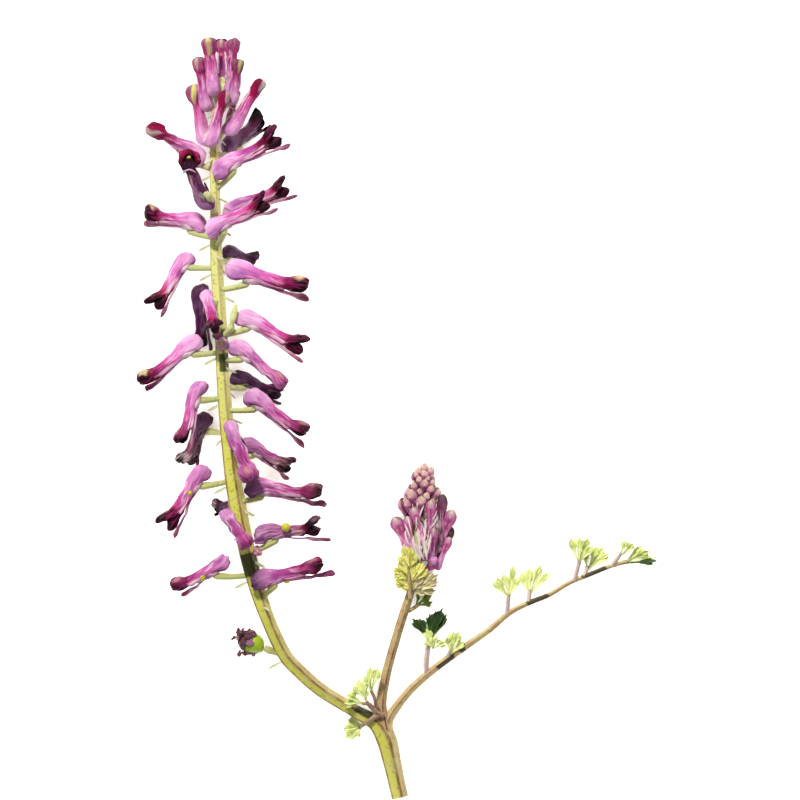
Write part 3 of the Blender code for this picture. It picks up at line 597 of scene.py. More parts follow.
# %% Leaf material
def leaf_material(name, body, tip, rib, vein, mottle, roughness=0.5):
    """Leaf blade with a midrib and slanting veins; also for dry petals, fruit and pods."""
    made, tree, values = surface(
        name, ("along", "around", "shade"), [("blotch", 1.0, 4.0)], Roughness=roughness,
        Subsurface_Weight=0.12, Subsurface_Scale=1.0, Subsurface_Radius=(0.5 * MM, 0.8 * MM, 0.2 * MM))
    slanted = reckon(tree, values, ["along", 5.0], ["around", -1.6])
    values["branch"] = add(tree, "ShaderNodeMath", {0: slanted, 1: 0.5}, operation="PINGPONG")
    colour = painted(tree, values, linear(body), [
        (OVER, tip, ("along", 0.3, 1.0)), (OVER, mottle, ("blotch", 0.4, 0.75, 0.0, 0.7)),
        # painted shade: darker towards the lobes' bases, where they overlap
        (OVER, vein, ("along", 0.5, 0.1), ("blotch", 0.4, 0.62, 0.0, 0.6)),
        (OVER, vein, ("branch", 0.1, 0.02, 0.0, 0.5)), (OVER, rib, ("around", 0.16, 0.04, 0.0, 0.7)),
        # painted shade on pieces that carry `shade`: the cups of flowers in shadow
        (OVER, "#3A4A14", "shade", 0.8)])
    rough = reckon(tree, values, [("blotch", 0.3, 0.7, roughness - 0.06, roughness + 0.1)])
    height = reckon(tree, values, [("branch", 0.0, 0.2)], [("around", 0.0, 0.2)], ["blotch", 0.8])
    return finished(made, colour, rough, height, 0.5, 0.05)


# Young leaf blade, fresh: soft and thin, so light shines through it yellow-green.
young_leaf = leaf_material("young_leaf_blade", "#ECF4A8", "#E0EC90", "#F6FAD4", "#7C9638", "#AAC458")
# The ruff's blades, yellowing: bright yellow with green veins.
ruff_film = leaf_material("yellow_leaf_blade", "#F0E888", "#DCE270", "#FAF6C8", "#8A9036", "#BCC054")
# The ruff's withering side: washed-out green going pink at the tips.
faded_leaf = leaf_material("faded_leaf_blade", "#E0E298", "#C8B49C", "#F2ECD0", "#767848", "#DAB8B4")
# A shaded copy of the leaf blade, for leaflets turned from the light: painted shade, deep green,
# with the veins hardly seen.
dark_leaf = leaf_material("dark_leaf_blade", "#2C4A18", "#223C12", "#4A6A2C", "#14240A", "#18300C")
# A half-shaded copy of the leaf blade: painted shade, olive with yellow-green patches.
half_shaded_leaf = leaf_material(
    "half_shaded_leaf_blade", "#6E8A2A", "#56701E", "#96AC50", "#20340A", "#B0C060")
# Unripe fruit, fresh: smooth full skin, glossier than a leaf, clear green.
fruit_skin = leaf_material("green_fruit_skin", "#94B01C", "#7E9E18", "#A8C242", "#6E8A14", "#86A424", 0.42)
# Petals dried on the fruit: rough, crumpled and dark wine brown.
withered = leaf_material("withered_petal_film", "#4A2030", "#1E0E14", "#7A3A50", "#2A1018", "#8A4A60", 0.75)
# The least dried of them: dusty mauve.
faded_petal = leaf_material("faded_petal_film", "#7E4A66", "#A8708C", "#96607C", "#4A2438", "#5A3048", 0.7)
# Ovary, fresh: a small smooth ball, bright greenish yellow between the petals.
ovary_skin = leaf_material("yellow_ovary_skin", "#C6C42C", "#B0B028", "#DCD86A", "#8A8420", "#A49E28")
# Bract of the bud head, a dry skin: thin, white, pink where a bud shows through.
white_bract = leaf_material("white_bract_blade", "#F6ECE4", "#E0C4CE", "#FAF6F0", "#D4BCC0", "#EADAD2")
# Young seed vessel, fresh: pale green, satin, with a faint seam.
pod_skin = leaf_material("pale_pod_skin", "#CDD69A", "#B4C070", "#E4E8C4", "#A4B060", "#B8C480")
# Bract under a flower stalk, drying: grey-green with a straw tip.
bract_film = leaf_material("bract_blade", "#CDD2AC", "#9A967C", "#E4E6CC", "#A4A878", "#BCC098")
print(len(bpy.data.materials), "materials")

# %% [markdown]
# ## A ridged stalk that follows a path
#
# Fumitory's stems are ridged all along. A curve object with a round bevel would follow the path
# too, but couldn't say where each point of the skin is. So Geometry Nodes make the stalks: a
# line of points becomes a curve, a circle with waves round it becomes the profile, and Curve to
# Mesh draws one along the other. The nodes store where each point is round the stem and along
# it, so that the material can colour ridges and grooves.


# %% How a tree starts, ends and is run
def new_tree(name, sizes):
    """A Geometry Nodes tree with named inputs for its sizes."""
    tree = bpy.data.node_groups.new(name, "GeometryNodeTree")
    sockets = [("Geometry", "INPUT", "Geometry"), *((size, "INPUT", sizes[size]) for size in sizes),
               ("Geometry", "OUTPUT", "Geometry")]
    for label, way, kind in sockets:
        tree.interface.new_socket(name=label, in_out=way, socket_type="NodeSocket" + kind)
    return tree, add(tree, "NodeGroupInput").node.outputs


def end_tree(tree, geometry, skin):
    """Makes the copies real, smooth and dressed in their skin."""
    steps = (("RealizeInstances", {}), ("SetShadeSmooth", {}), ("SetMaterial", {"Material": skin}))
    for kind, inputs in steps:
        geometry = add(tree, "GeometryNode" + kind, {"Geometry": geometry, **inputs})
    add(tree, "NodeGroupOutput", {"Geometry": geometry})


def grow(name, source, tree, sizes):
    """Runs a tree on the source object, and gives what it made as a plain mesh's object."""
    modifier = source.modifiers.new(tree.name, "NODES")
    modifier.node_group = tree
    for item in tree.interface.items_tree:
        if item.in_out == "INPUT" and item.name in sizes:
            modifier[item.identifier] = sizes[item.name]
    bpy.context.view_layer.update()
    graph = bpy.context.evaluated_depsgraph_get()
    mesh = bpy.data.meshes.new_from_object(source.evaluated_get(graph))
    mesh.name = name
    bpy.data.objects.remove(source)
    return placed(name, mesh)


def points_object(name, points, edges, values):
    """Points and edges with attributes, for a tree to work on."""
    mesh = bpy.data.meshes.new(name)
    mesh.from_pydata(points, edges, [])
    for label, spots in values.items():
        vectors = isinstance(spots[0], Vector)
        data = mesh.attributes.new(label, "FLOAT_VECTOR" if vectors else "FLOAT", "POINT").data
        data.foreach_set("vector" if vectors else "value",
                         [v for spot in spots for v in spot] if vectors else spots)
    return placed(name, mesh)


print(len(bpy.data.node_groups), "trees so far")

# %% Tree: ridged stalk
ridged_stalk, given = new_tree("ridged stalk", {
    "Sides": "Int", "Ridges": "Int", "Ridge depth": "Float", "Skin": "Material"})
tree, STORE = ridged_stalk, "GeometryNodeStoreNamedAttribute"
line = add(tree, "GeometryNodeMeshToCurve", {"Mesh": given["Geometry"]})
line = add(tree, "GeometryNodeSetCurveNormal", {"Curve": line}, mode="Z_UP")
run = add(tree, "GeometryNodeSplineParameter", out="Length")
line = add(tree, STORE, {"Geometry": line, "Name": "run", "Value": run})
circle = add(tree, "GeometryNodeCurvePrimitiveCircle", {"Resolution": given["Sides"], "Radius": 1.0})
spot = add(tree, "GeometryNodeInputPosition")
x = add(tree, "ShaderNodeSeparateXYZ", {0: spot})
angle = add(tree, "ShaderNodeMath", {0: x.node.outputs["Y"], 1: x}, operation="ARCTAN2")
wave = add(tree, "ShaderNodeMath", {0: reckon(tree, {}, [angle, given["Ridges"]])}, operation="COSINE")
wave = reckon(tree, {}, [wave, 0.5], [0.5])
for label, value in (("ridge", wave), ("side", x)):
    circle = add(tree, STORE, {"Geometry": circle, "Name": label, "Value": value})
size = reckon(tree, {}, [1.0], [given["Ridge depth"], -1.0], [given["Ridge depth"], wave])
scaled = add(tree, "ShaderNodeVectorMath", {0: spot, "Scale": size}, operation="SCALE")
circle = add(tree, "GeometryNodeSetPosition", {"Geometry": circle, "Position": scaled})
thickness = add(tree, "GeometryNodeInputNamedAttribute", {"Name": "thickness"})
tube = add(tree, "GeometryNodeCurveToMesh", {
    "Curve": line, "Profile Curve": circle, "Scale": thickness, "Fill Caps": True})
end_tree(tree, tube, given["Skin"])
print(len(ridged_stalk.nodes), "nodes in the tree")


# %% Running it
def lines_object(name, routes):
    """Lines as one mesh of edges, each route a list of (point, radius) in metres."""
    spots, edges = [], []
    for route in routes:
        edges += [(len(spots) + i, len(spots) + i + 1) for i in range(len(route) - 1)]
        spots += route
    radii = [radius for _, radius in spots]
    return points_object(name, [point for point, _ in spots], edges, {"thickness": radii})


def ridged_piece(name, routes, skin, node, sides=16, ridges=5, depth=0.1):
    """Stalks along routes; depth is the ridges', as a share of the radius."""
    sizes = {"Sides": sides, "Ridges": ridges, "Ridge depth": depth, "Skin": skin}
    return dress(grow(name, lines_object(name + "_line", routes), ridged_stalk, sizes), node)


def sheet_route(points, per_span):
    return [(on_sheet(*spot), radius * STEP) for *spot, radius in smooth_route(points, per_span)]


print("a route is", len(sheet_route([(0, 0, 0, 1), (1, 0, 0, 1)], 5)), "points for one span of 5")

# %% The main stem and the head's stalk
MAIN_STEM = [
    (399.5, 799, 8.6, 8.9), (395, 779, 9.2, 9.1), (390.5, 759, 11, 9.9), (385.5, 740, 13, 10.8),
    (375, 724, 16, 8.6), (356, 713, 19, 7), (322, 692, 26, 7.2), (300, 673, 33, 7.4),
    (284, 655, 39, 7.3), (268, 621, 48, 7.5), (257, 590, 52, 8.3), (247, 553, 54, 8.8),
    (236, 500, 55, 9), (229, 450, 55, 8.2), (223, 385, 55, 7.1), (220, 320, 55, 6.8),
    (216, 260, 55, 6.6), (215, 200, 55, 5.4), (214, 150, 55, 4.8), (218, 112, 55, 3),
    (221, 92, 55, 2.4)]
HEAD_STALK = [
    (388, 744, 14, 6.0), (385, 730, 16, 6.4), (381, 706, 17, 5.4), (386, 675, 21, 4.9), (394, 645, 25, 4.8),
    (404, 612, 29, 4.7), (410, 594, 30, 4.3), (412, 582, 30, 3.6), (414, 570, 30, 2.8)]

ridged_piece("raceme_axis", [sheet_route(MAIN_STEM, 5)], stem_skin, "stem", sides=40, depth=0.14)
ridged_piece("head_stalk", [sheet_route(HEAD_STALK, 5)], head_stalk_skin, "stem", sides=28, depth=0.12)


def raceme_axis(y):
    """Where the long raceme's axis crosses a line of the sheet: x, height and radius."""
    for low, high in zip(MAIN_STEM, MAIN_STEM[1:]):
        if high[1] <= y <= low[1]:
            t = (low[1] - y) / (low[1] - high[1])
            return tuple(low[i] + (high[i] - low[i]) * t for i in (0, 2, 3))
    return MAIN_STEM[-1][0], MAIN_STEM[-1][2], MAIN_STEM[-1][3]


print("the axis at y = 400:", raceme_axis(400))

# %% [markdown]
# ## The flowers
#
# A fumitory flower is a slim tube lying on its side. The upper petal starts as a round spur,
# runs along the tube and ends in a hood. A narrow lower petal lies under it, with a spoon at its
# tip, and two inner petals meet in the mouth.
#
# One flower could be modelled and copied 37 times, but in the picture no two have the same size,
# turn and age. So each flower is a record of its measures, and one set of functions makes them
# all. We loft the upper petal from stations along the flower. In the tube its ring is closed,
# and from the throat on its lower part rises into the hood, which leaves a thin vault of petal.

# %% What each flower is like
@dataclass
class Bloom:
    """spur and mouth on the sheet, depth of the spur under or over the axis, tilt and roll in
    degrees, and joins, the line where its stalk leaves the axis, follow the solid model.
    bud is for a shut one, and bract for one with a bract under its stalk. drop is how far the
    lower petal hangs, in degrees, and lip its length beside the usual one. seat is how far along
    the flower its stalk meets it, girth its thickness beside the usual one, and slim the spur's
    beside the mouth's. shade darkens all of it and spur_shadow the spur alone. keel names the
    petal film, hook lifts the spur, in steps, and twist turns the mouth towards the viewer."""

    name: str
    spur: tuple
    mouth: tuple
    depth: float
    tilt: float
    roll: float
    joins: float
    bud: bool = False
    bract: bool = True
    drop: float = 6.0
    seat: float = 25.0
    girth: float = 1.0
    # painted shade over the whole flower, strongest on those behind the stem; on a few it is also their own
    # darker tissue
    shade: float = 0.0
    keel: str = ""
    hook: float = 0.0
    twist: float = 0.0
    slim: float = 1.0
    # a painted shadow cast across the spur
    spur_shadow: float = 0.0
    lip: float = 1.0


BLOOMS = [
    Bloom("01", (215, 97), (208, 39), 11, 0, 90, 108, bud=True, seat=12, girth=1.22, keel="cream"),
    Bloom("02", (222, 86), (221, 39), -16, 0, -90, 96, bud=True, seat=10, girth=1.15),
    Bloom("03", (233, 93), (232, 39), -2, 0, 180, 98, bud=True, seat=10, girth=1.2),
    Bloom("04", (207, 112), (199, 58), -4, 6, 60, 120, bud=True, seat=10, girth=1.25),
    Bloom("05", (232, 106), (238, 60), 9, 0, 120, 118, bud=True, bract=False, seat=10, girth=1.3,
          keel="cream", shade=0.3),
    Bloom("06", (226, 134), (236, 91), -10, 0, 80, 134, bud=True, seat=14, girth=1.0),
    Bloom("07", (206, 147), (193, 86), -6, -4, 40, 142, bud=True, seat=14, girth=1.15,
          keel="cream", twist=60),
    Bloom("08", (210, 148), (225, 92), 14, 6, 140, 152, bud=True, keel="crimson", seat=14, slim=1.15),
    Bloom("09", (228, 136), (261, 80), 2, 0, 140, 146, bud=True, keel="crimson", seat=20),
    Bloom("10", (223, 149), (261, 119), -12, -46, 10, 158, shade=0.8),
    Bloom("11", (206, 160), (149, 126), 4, 12, 180, 170, bud=True, keel="crimson", girth=1.1, twist=148),
    Bloom("12", (206, 207), (188, 163), 14, 44, -50, 214, bract=False, girth=1.2, shade=0.5),
    Bloom("13", (212, 172), (279, 138), 12, 5, 0, 190, seat=21),
    Bloom("14", (207, 224), (145, 215), -4, 6, 180, 238, keel="cream", girth=1.25, twist=38, seat=20.5,
          lip=0.85),
    Bloom("15", (205, 231), (268, 203), 18, 8, 0, 248, seat=20),
    Bloom("16", (222, 213), (287, 188), -8, -6, 0, 224, shade=0.25),
    Bloom("17", (224, 249), (254, 260), -14, -52, 0, 262, shade=0.9),
    Bloom("18", (189, 252), (156, 307), 2, 14, 180, 268, seat=16.5),
    Bloom("19", (225, 268), (306, 289), 6, 4, 0, 290, keel="cream", hook=5, twist=35, seat=23.5,
          lip=0.95),
    Bloom("20", (198, 284), (201, 346), -18, -14, 180, 300, shade=0.9),
    Bloom("21", (205, 290), (216, 331), 18, 26, 90, 300, girth=1.6, slim=0.8),
    Bloom("22", (200, 337), (143, 384), 4, 6, 180, 352, keel="cream", hook=3, twist=45, seat=17.5,
          lip=0.88),
    Bloom("23", (238, 312), (302, 349), 4, 4, 0, 336, seat=18),
    Bloom("24", (232, 341), (285, 385), 9, 8, 0, 360, bud=True, keel="orange", twist=70, seat=21.5),
    Bloom("25", (232, 374), (279, 394), -12, -34, 0, 386, shade=0.9),
    Bloom("26", (246, 392), (304, 435), 6, 4, 0, 410, keel="dull", hook=2, twist=30, shade=0.15, seat=18.5),
    Bloom("27", (198, 380), (183, 443), 6, 12, 180, 398, keel="dull", hook=-2, twist=25, seat=23.5),
    Bloom("28", (204, 413), (187, 463), -14, -40, 180, 433, shade=0.85),
    Bloom("29", (204, 465), (168, 527), 4, 6, 180, 480, seat=22),
    Bloom("30", (228, 420), (252, 480), 21, 12, 90, 440, bud=True, keel="orange", girth=1.4, slim=0.65),
    Bloom("31", (242, 440), (289, 468), 1, -14, 10, 456, girth=1.15, shade=0.35),
    Bloom("32", (245, 485), (320, 495), 6, 4, 0, 502, keel="dull", shade=0.1, twist=40, spur_shadow=0.9,
          seat=18.5),
    Bloom("33", (223, 510), (249, 546), 21, 26, 90, 526, bud=True, keel="plain", girth=1.55, slim=0.85),
    Bloom("34", (240, 503), (215, 508), -18, -58, 180, 516, shade=0.9),
    Bloom("35", (253, 534), (319, 528), 9, 4, 0, 554, drop=9, shade=0.3, seat=26.5, lip=1.12),
    Bloom("36", (230, 560), (174, 589), 4, 6, 180, 575, drop=13, keel="dull", hook=6, twist=40, lip=0.8),
    Bloom("37", (251, 581), (321, 567), 17, 0, 0, 598, keel="dull", twist=40, spur_shadow=1.0, lip=1.12),
]
print(len(BLOOMS), "flowers,", sum(bloom.bud for bloom in BLOOMS), "of them buds")

# %% The upper petal's stations
# along, top, bottom, half width, middle, wrap, opened: steps along a flower of full length.
# wrap is how far round the petal reaches from its crest, in degrees.
SPUR = [
    (0, -3.0, -5.0, 0.8, -4.0, 120, 0), (0.8, 0.5, -8.0, 3.6, -4.0, 120, 0),
    (3, 4.6, -11.4, 6.2, -3.4, 120, 0), (7, 8.0, -12.8, 7.8, -2.6, 120, 0),
    (12, 9.6, -11.6, 8.0, -1.6, 120, 0), (18, 9.8, -8.4, 7.4, -0.6, 120, 0),
    (25, 9.2, -7.4, 6.8, 0.0, 120, 0)]
TUBE = [
    (34, 7.6, -7.4, 6.4, 0.0, 120, 0), (44, 6.4, -7.3, 5.9, -0.2, 120, 0),
    (54, 6.2, -7.4, 5.8, -0.3, 120, 0)]
HOOD = [
    (60, 7.2, -7.2, 6.4, 0.2, 120, 0), (65, 8.8, -6.2, 7.6, 1.6, 118, 0.45),
    (69, 11.0, -4.0, 8.8, 3.0, 108, 1), (74, 13.4, -1.0, 8.6, 5.0, 98, 1),
    (78, 14.6, 0.6, 6.6, 7.6, 92, 1), (81, 14.6, 4.0, 3.6, 10.0, 90, 1), (83, 14.0, 6.6, 0.8, 11.6, 90, 1)]
BLUNT_HOOD = [
    (60, 7.2, -7.2, 6.4, 0.2, 120, 0), (65, 8.8, -6.4, 7.4, 1.4, 116, 0.45),
    (69, 10.6, -4.4, 8.2, 2.6, 106, 1), (74, 12.4, -1.6, 8.6, 4.2, 98, 1),
    (77.6, 12.8, 0.0, 7.8, 5.4, 94, 1), (80.0, 11.6, 2.0, 5.8, 6.0, 92, 1), (81.5, 9.4, 4.0, 3.2, 6.4, 90, 1),
    (82, 7.6, 5.6, 0.8, 6.6, 90, 1)]
BUD_HOOD = [
    (58, 6.4, -4.6, 5.8, 0.8, 115, 0.5), (62, 7.6, -3.8, 6.6, 1.2, 102, 1),
    (67, 8.8, -3.0, 7.3, 1.4, 98, 1), (73, 9.7, -2.8, 7.9, 1.4, 98, 1),
    (77, 9.2, -2.4, 7.5, 1.4, 98, 1), (79.8, 7.2, -1.6, 5.8, 1.2, 98, 1),
    (81.3, 4.6, -0.8, 3.4, 1.0, 98, 1), (81.8, 2.0, 0.0, 1.0, 1.0, 98, 1)]
OPEN_THROAT = [  # for the flower whose mouth is built round it
    (60, 6.0, -6.4, 6.0, 0.0, 120, 0), (66, 5.0, -5.2, 5.0, 0.0, 120, 0), (69, 1.0, -1.0, 1.0, 0.0, 120, 0)]
PETAL_THICK = 1.1
UPPER_SPANS = 10  # from the crest to each margin
MARGIN_FLARE = 0.22
KEEL_HEIGHT = 0.9


def upper_ring(along, top, bottom, half_width, middle, wrap, opened):
    wrap = math.radians(wrap)

    def spot(angle, shrink=0.0):
        reach = top - middle if math.cos(angle) > 0 else middle - bottom
        across = max(half_width - shrink, half_width * 0.4) * math.sin(angle)
        return Vector((along, across, middle + max(reach - shrink, reach * 0.4) * math.cos(angle)))

    ring = []
    for i in range(-UPPER_SPANS, UPPER_SPANS + 1):
        s = i / UPPER_SPANS
        point = spot(s * wrap)
        point.y *= 1 + opened * MARGIN_FLARE * abs(s) ** 5
        point.z += opened * KEEL_HEIGHT * max(0.0, 1 - abs(s) * UPPER_SPANS)
        ring.append((point, abs(s) * wrap / math.pi, 0.0))
    for i in range(UPPER_SPANS - 1, -UPPER_SPANS, -1):
        s = i / UPPER_SPANS
        shut, vault = spot(math.pi - s * (math.pi - wrap)), spot(s * wrap, PETAL_THICK)
        vault.y *= 1 + MARGIN_FLARE * abs(s) ** 5
        around = 1 - abs(s) * (1 - wrap / math.pi)
        ring.append((shut.lerp(vault, opened), around + (abs(s) * wrap / math.pi - around) * opened, opened))
    return ring


print(len(upper_ring(*SPUR[0])), "points round the upper petal")

# %% Lower and inner petals
# Lower petal: along, half width, rise, cup. Bud's spoon: along, half width, bottom, rim.
LOWER_PETAL = [
    (24, 3.0, -8.0, 1.6), (34, 2.7, -7.8, 2.2), (50, 2.2, -7.4, 2.4), (64, 2.3, -7.2, 2.2),
    (73, 3.4, -7.8, 3.0), (80, 5.0, -8.6, 4.2), (85, 4.2, -8.2, 3.6), (88, 1.2, -6.6, 1.0)]
BUD_SPOON = [
    (48, 2.2, -7.0, -5.6), (60, 4.6, -7.4, -3.0), (68, 6.6, -8.2, -0.5), (73, 7.1, -8.6, 1.0),
    (77.6, 5.8, -6.8, 1.2), (80.8, 1.0, -1.6, 0.5)]
INNER_PETALS = [  # along, rise, half height, half width
    (46, -0.8, 3.0, 3.0), (54, -1.0, 4.4, 4.0), (62, -1.4, 5.8, 5.2), (70, -1.8, 7.0, 6.0),
    (76, -2.2, 6.4, 5.2), (80, -2.4, 4.2, 3.2), (82, -2.4, 0.8, 0.8)]
BUD_CLUB = [
    (54, -0.5, 4.4, 4.6), (62, -0.6, 5.4, 6.2), (70, -0.4, 6.0, 7.2), (76.5, -0.2, 5.2, 6.8),
    (80.2, 0.4, 1.8, 2.4)]
MOUTH_LIFT = 3.5  # steps, of the inner petals under a blunt hood
ROUND_SIDES = 16
SIDE_GROOVE = 0.14
FULL_LENGTH = 80.0  # a flower, spur to lip
HINGE = Vector((34, 0, -7))


def round_ring(spot, sides=ROUND_SIDES, first=0.0):
    """A closed ring: spot takes an angle, and gives its point and its `around`."""
    return [(*spot((i + first) * math.tau / sides), 0.0) for i in range(sides)]


def from_top(angle):
    return abs(math.remainder(angle, math.tau))


def strap_ring(along, half_width, rise, cup):
    steps = [i / BLADE_SPANS for i in range(-BLADE_SPANS, BLADE_SPANS + 1)]
    top = [(Vector((along, half_width * s, rise + cup * s * s + 0.9 * (1 - s * s))), abs(s), 0.0)
           for s in steps]
    return top + [(Vector((along, half_width * s, rise + cup * s * s - 0.5)), abs(s), 0.0)
                  for s in steps[-2:0:-1]]


def spoon_ring(along, half_width, bottom, rim):
    def spot(angle):
        depth = (rim - bottom) if math.cos(angle) < 0 else 0.8
        return (Vector((along, half_width * math.sin(angle), rim + depth * math.cos(angle))),
                1 - from_top(angle) / math.pi)
    return round_ring(spot, first=0.5)


def club_ring(along, rise, half_height, half_width):
    def spot(angle):
        groove = 1 - SIDE_GROOVE * math.exp(-(((from_top(angle) - math.pi / 2) / 0.35) ** 2))
        return (Vector((along, half_width * groove * math.sin(angle), rise + half_height * math.cos(angle))),
                from_top(angle) / math.pi)
    return round_ring(spot, first=0.5)


def rings_of(stations, ring, per_span=2):
    return [(station[0] / FULL_LENGTH, ring(*station)) for station in smooth_route(stations, per_span)]


print(len(rings_of(LOWER_PETAL, strap_ring)), "rings along the lower petal")

# %% Putting a flower in its place
noise.seed_set(4)  # or the petals would crumple another way each time
WOBBLE, WOBBLE_GRAIN = 1.1, 11  # steps that no two petals are alike by
CREASE, CREASE_LONG, CREASE_WIDE = 1.1, 24, 4.5  # steps, of creases drawn out lengthwise
FRESH_TO, WORN_FROM = 340, 520  # down the sheet: the flowers are older there, and more crumpled
HOOK_REACH = 30.0  # the spur's part that hooks up or down


def held(value):
    return min(1.0, max(0.0, value))


def bloom_frame(bloom):
    """The flower's turn, its spur's place in metres, and its length's and girth's scales."""
    along = on_sheet(*bloom.mouth, 0) - on_sheet(*bloom.spur, 0)
    left = Vector((-along.y, along.x, 0)).normalized()
    tilt, roll = math.radians(bloom.tilt), math.radians(bloom.roll)
    forward = along.normalized() * math.cos(tilt) + UP * math.sin(tilt)
    upper = left * math.cos(roll) + forward.cross(left) * math.sin(roll)
    turn = Matrix((forward, upper.cross(forward), upper)).transposed()
    spur = on_sheet(*bloom.spur, raceme_axis(bloom.joins)[1] + bloom.depth)
    scale = along.length / math.cos(tilt) / (FULL_LENGTH * STEP)
    return turn, spur, (scale, scale * bloom.girth)


def turned_by(y, z, angle):
    return y * math.cos(angle) - z * math.sin(angle), y * math.sin(angle) + z * math.cos(angle)


def place_rings(rings, bloom, seed):
    """The rings moved from the flower's own steps to their place, a little uneven."""
    turn, spur, (long, wide) = bloom_frame(bloom)
    twist = math.radians(bloom.twist if bloom.roll < 90 else -bloom.twist)
    worn = held((bloom.joins - FRESH_TO) / (WORN_FROM - FRESH_TO))
    moved = []
    for along, ring in rings:
        spots = []
        for point, around, inside in ring:
            share = held(point.x / FULL_LENGTH)
            thin = bloom.slim + (1 - bloom.slim) * min(1.0, share * 1.5)
            crease = Vector((point.x / CREASE_LONG, point.y / CREASE_WIDE, point.z / CREASE_WIDE + seed))
            wobble = noise.noise_vector(point / WOBBLE_GRAIN + Vector((seed, 0, seed * 2))) * WOBBLE
            point = point + wobble * (1 + 0.8 * worn)
            for finer, depth in ((1.0, CREASE), (2.1, CREASE * 0.4)):
                point += noise.noise_vector(crease * finer) * depth * (1 + worn)
            point.yz = turned_by(point.y, point.z, twist * share * share)
            point.z += bloom.hook * max(0.0, 1 - point.x / HOOK_REACH) ** 1.5
            point = Vector((point.x * long, point.y * wide * thin, point.z * wide * thin)) * STEP
            spots.append((spur + turn @ point, around, inside))
        moved.append((along, spots))
    return moved


print("a flower's frame:", bloom_frame(BLOOMS[0])[2])

# %% The films that a flower can have, and what shows beside it
FILMS = {  # bud or open, keel: the upper petal's film and its hood
    (True, ""): (bud_petal, BUD_HOOD), (True, "cream"): (pale_keel_bud, BUD_HOOD),
    (True, "crimson"): (crimson_bud, BUD_HOOD), (True, "orange"): (pink_bud, BUD_HOOD),
    (True, "plain"): (plain_bud, BUD_HOOD), (False, ""): (open_petal, HOOD),
    (False, "cream"): (keeled_petal, BLUNT_HOOD), (False, "dull"): (dull_petal, BLUNT_HOOD)}
CLUB, STRAP, SEPAL, CUP_LEAF, OVARY = 1, 2, 3, 4, 5  # the finishes after the upper petal's
FLOWER_ENDS = {"24": (222.5, 344, 62, 6.4), "35": (257.5, 551, 60, 4.8)}  # small flowers seen end-on
END_PETALS = 5
BALL_RINGS = 10
OVARIES = {  # middle and radius of the ripening seed vessels that show beside the petals
    "29": ((190, 493, 66), 3.0), "35": ((286, 527, 74), 4.6), "36": ((202, 577, 62), 3.6),
    "37": ((287, 580, 68), 3.6)}


def end_on(skin, x, y, height, size):
    """A small flower that points at us: petals round a yellow-brown middle."""
    for i in range(END_PETALS):
        turn = i * math.tau / END_PETALS + 0.5
        reach = size * (1 + 0.16 * math.sin(i * 2.2))
        out = Vector((math.cos(turn), math.sin(turn), 0))
        tongue(skin, on_sheet(x, y, height - 2), on_sheet(x, y, height + 1) + out * reach * STEP, UP,
               size * 1.25, finish=STRAP, thick=2.0, curl=size * 0.3, fold=-0.8, seed=i * 2.0)
    tongue(skin, on_sheet(x - 0.5, y - size * 0.5, height + 4),
           on_sheet(x + 0.4, y + size * 0.35, height + 4), UP, size * 0.4, finish=OVARY, thick=1.6)


def ovary(skin, middle, radius):
    ball = []
    for k in range(1, BALL_RINGS):
        level = math.pi * k / BALL_RINGS
        flat = math.sin(level)

        def spot(angle):
            out = Vector((flat * math.cos(angle), flat * math.sin(angle), -math.cos(level)))
            return on_sheet(*middle) + out * radius * STEP, 0.5
        ball.append((k / BALL_RINGS, round_ring(spot)))
    skin.loft(ball, OVARY)


print(len(FILMS), "films and hoods")

# %% The flower that faces us
FRONT_BLOOM = "12"
FRONT_MOUTH = (190, 161)
FRONT_CUP = [  # height, radius, along: up the outside, over the rim and down the inside
    (98, 4.5, 0.70), (103, 7.4, 0.80), (108, 10.0, 0.83), (111.5, 11.4, 0.835), (113.6, 11.4, 0.83),
    (114.4, 9.8, 0.82), (113.8, 7.6, 0.82), (111.8, 5.4, 0.845), (108, 4.2, 0.89), (104, 3.4, 0.97)]


def front_mouth(skin):
    """Its mouth: a crimson ring, black inside, yellow in the middle. The black is the inner petals'
    own dark colour, deepened with painted shade.
    """
    x, y = FRONT_MOUTH
    rings = []
    for height, radius, along in FRONT_CUP:
        def spot(angle):
            lobed = radius * (1 + 0.07 * math.cos(3 * angle + 0.6) + 0.05 * math.sin(7 * angle))
            bob = 1.4 * math.sin(2 * angle + 0.8) + 0.8 * math.cos(5 * angle)
            return on_sheet(x + lobed * math.cos(angle), y + lobed * math.sin(angle), height + bob), 0.3
        rings.append((along, round_ring(spot, 32)))
    skin.loft(rings)
    for side in (-1, 1):  # the dark inner petals hang below the mouth, made near black with painted shade
        tongue(skin, on_sheet(x + side * 1.6, y - 2, 110), on_sheet(x + side * 3.6, y + 12.5, 113), UP, 8.4,
               finish=CLUB, shade=1.0, thick=3.0, curl=2.5)
    tongue(skin, on_sheet(x - 2.6, y - 2.0, 111.5), on_sheet(x + 1.8, y - 3.2, 112), UP, 3.2, finish=OVARY,
           thick=2.0, curl=0.5)
    tongue(skin, on_sheet(x - 6.5, y + 13.0, 115), on_sheet(x + 7.0, y + 13.4, 115), Vector((0, 1, 0)), 5.0,
           finish=STRAP, thick=2.6, curl=3.2)


print(len(FRONT_CUP), "rings in its mouth")

# %% Making the flowers
CUP = [(-6.4, 3.0), (-4.6, 4.0), (-2.2, 4.8), (1.0, 4.6), (3.4, 2.6)]  # rise from the seat, radius
CUP_LOW = 3.6  # steps that the cup's seat lies under the flower's middle line
CUP_FOOT, CUP_SPAN = 7.2, 10.6  # steps: where `along` starts under the seat, and how far it runs
SEPAL_ROOT, SEPAL_TIP = (-4, 5.0, -8.4), (13, 6.8, -5.2)  # steps from the seat
SEPAL_WIDTH = 6.4


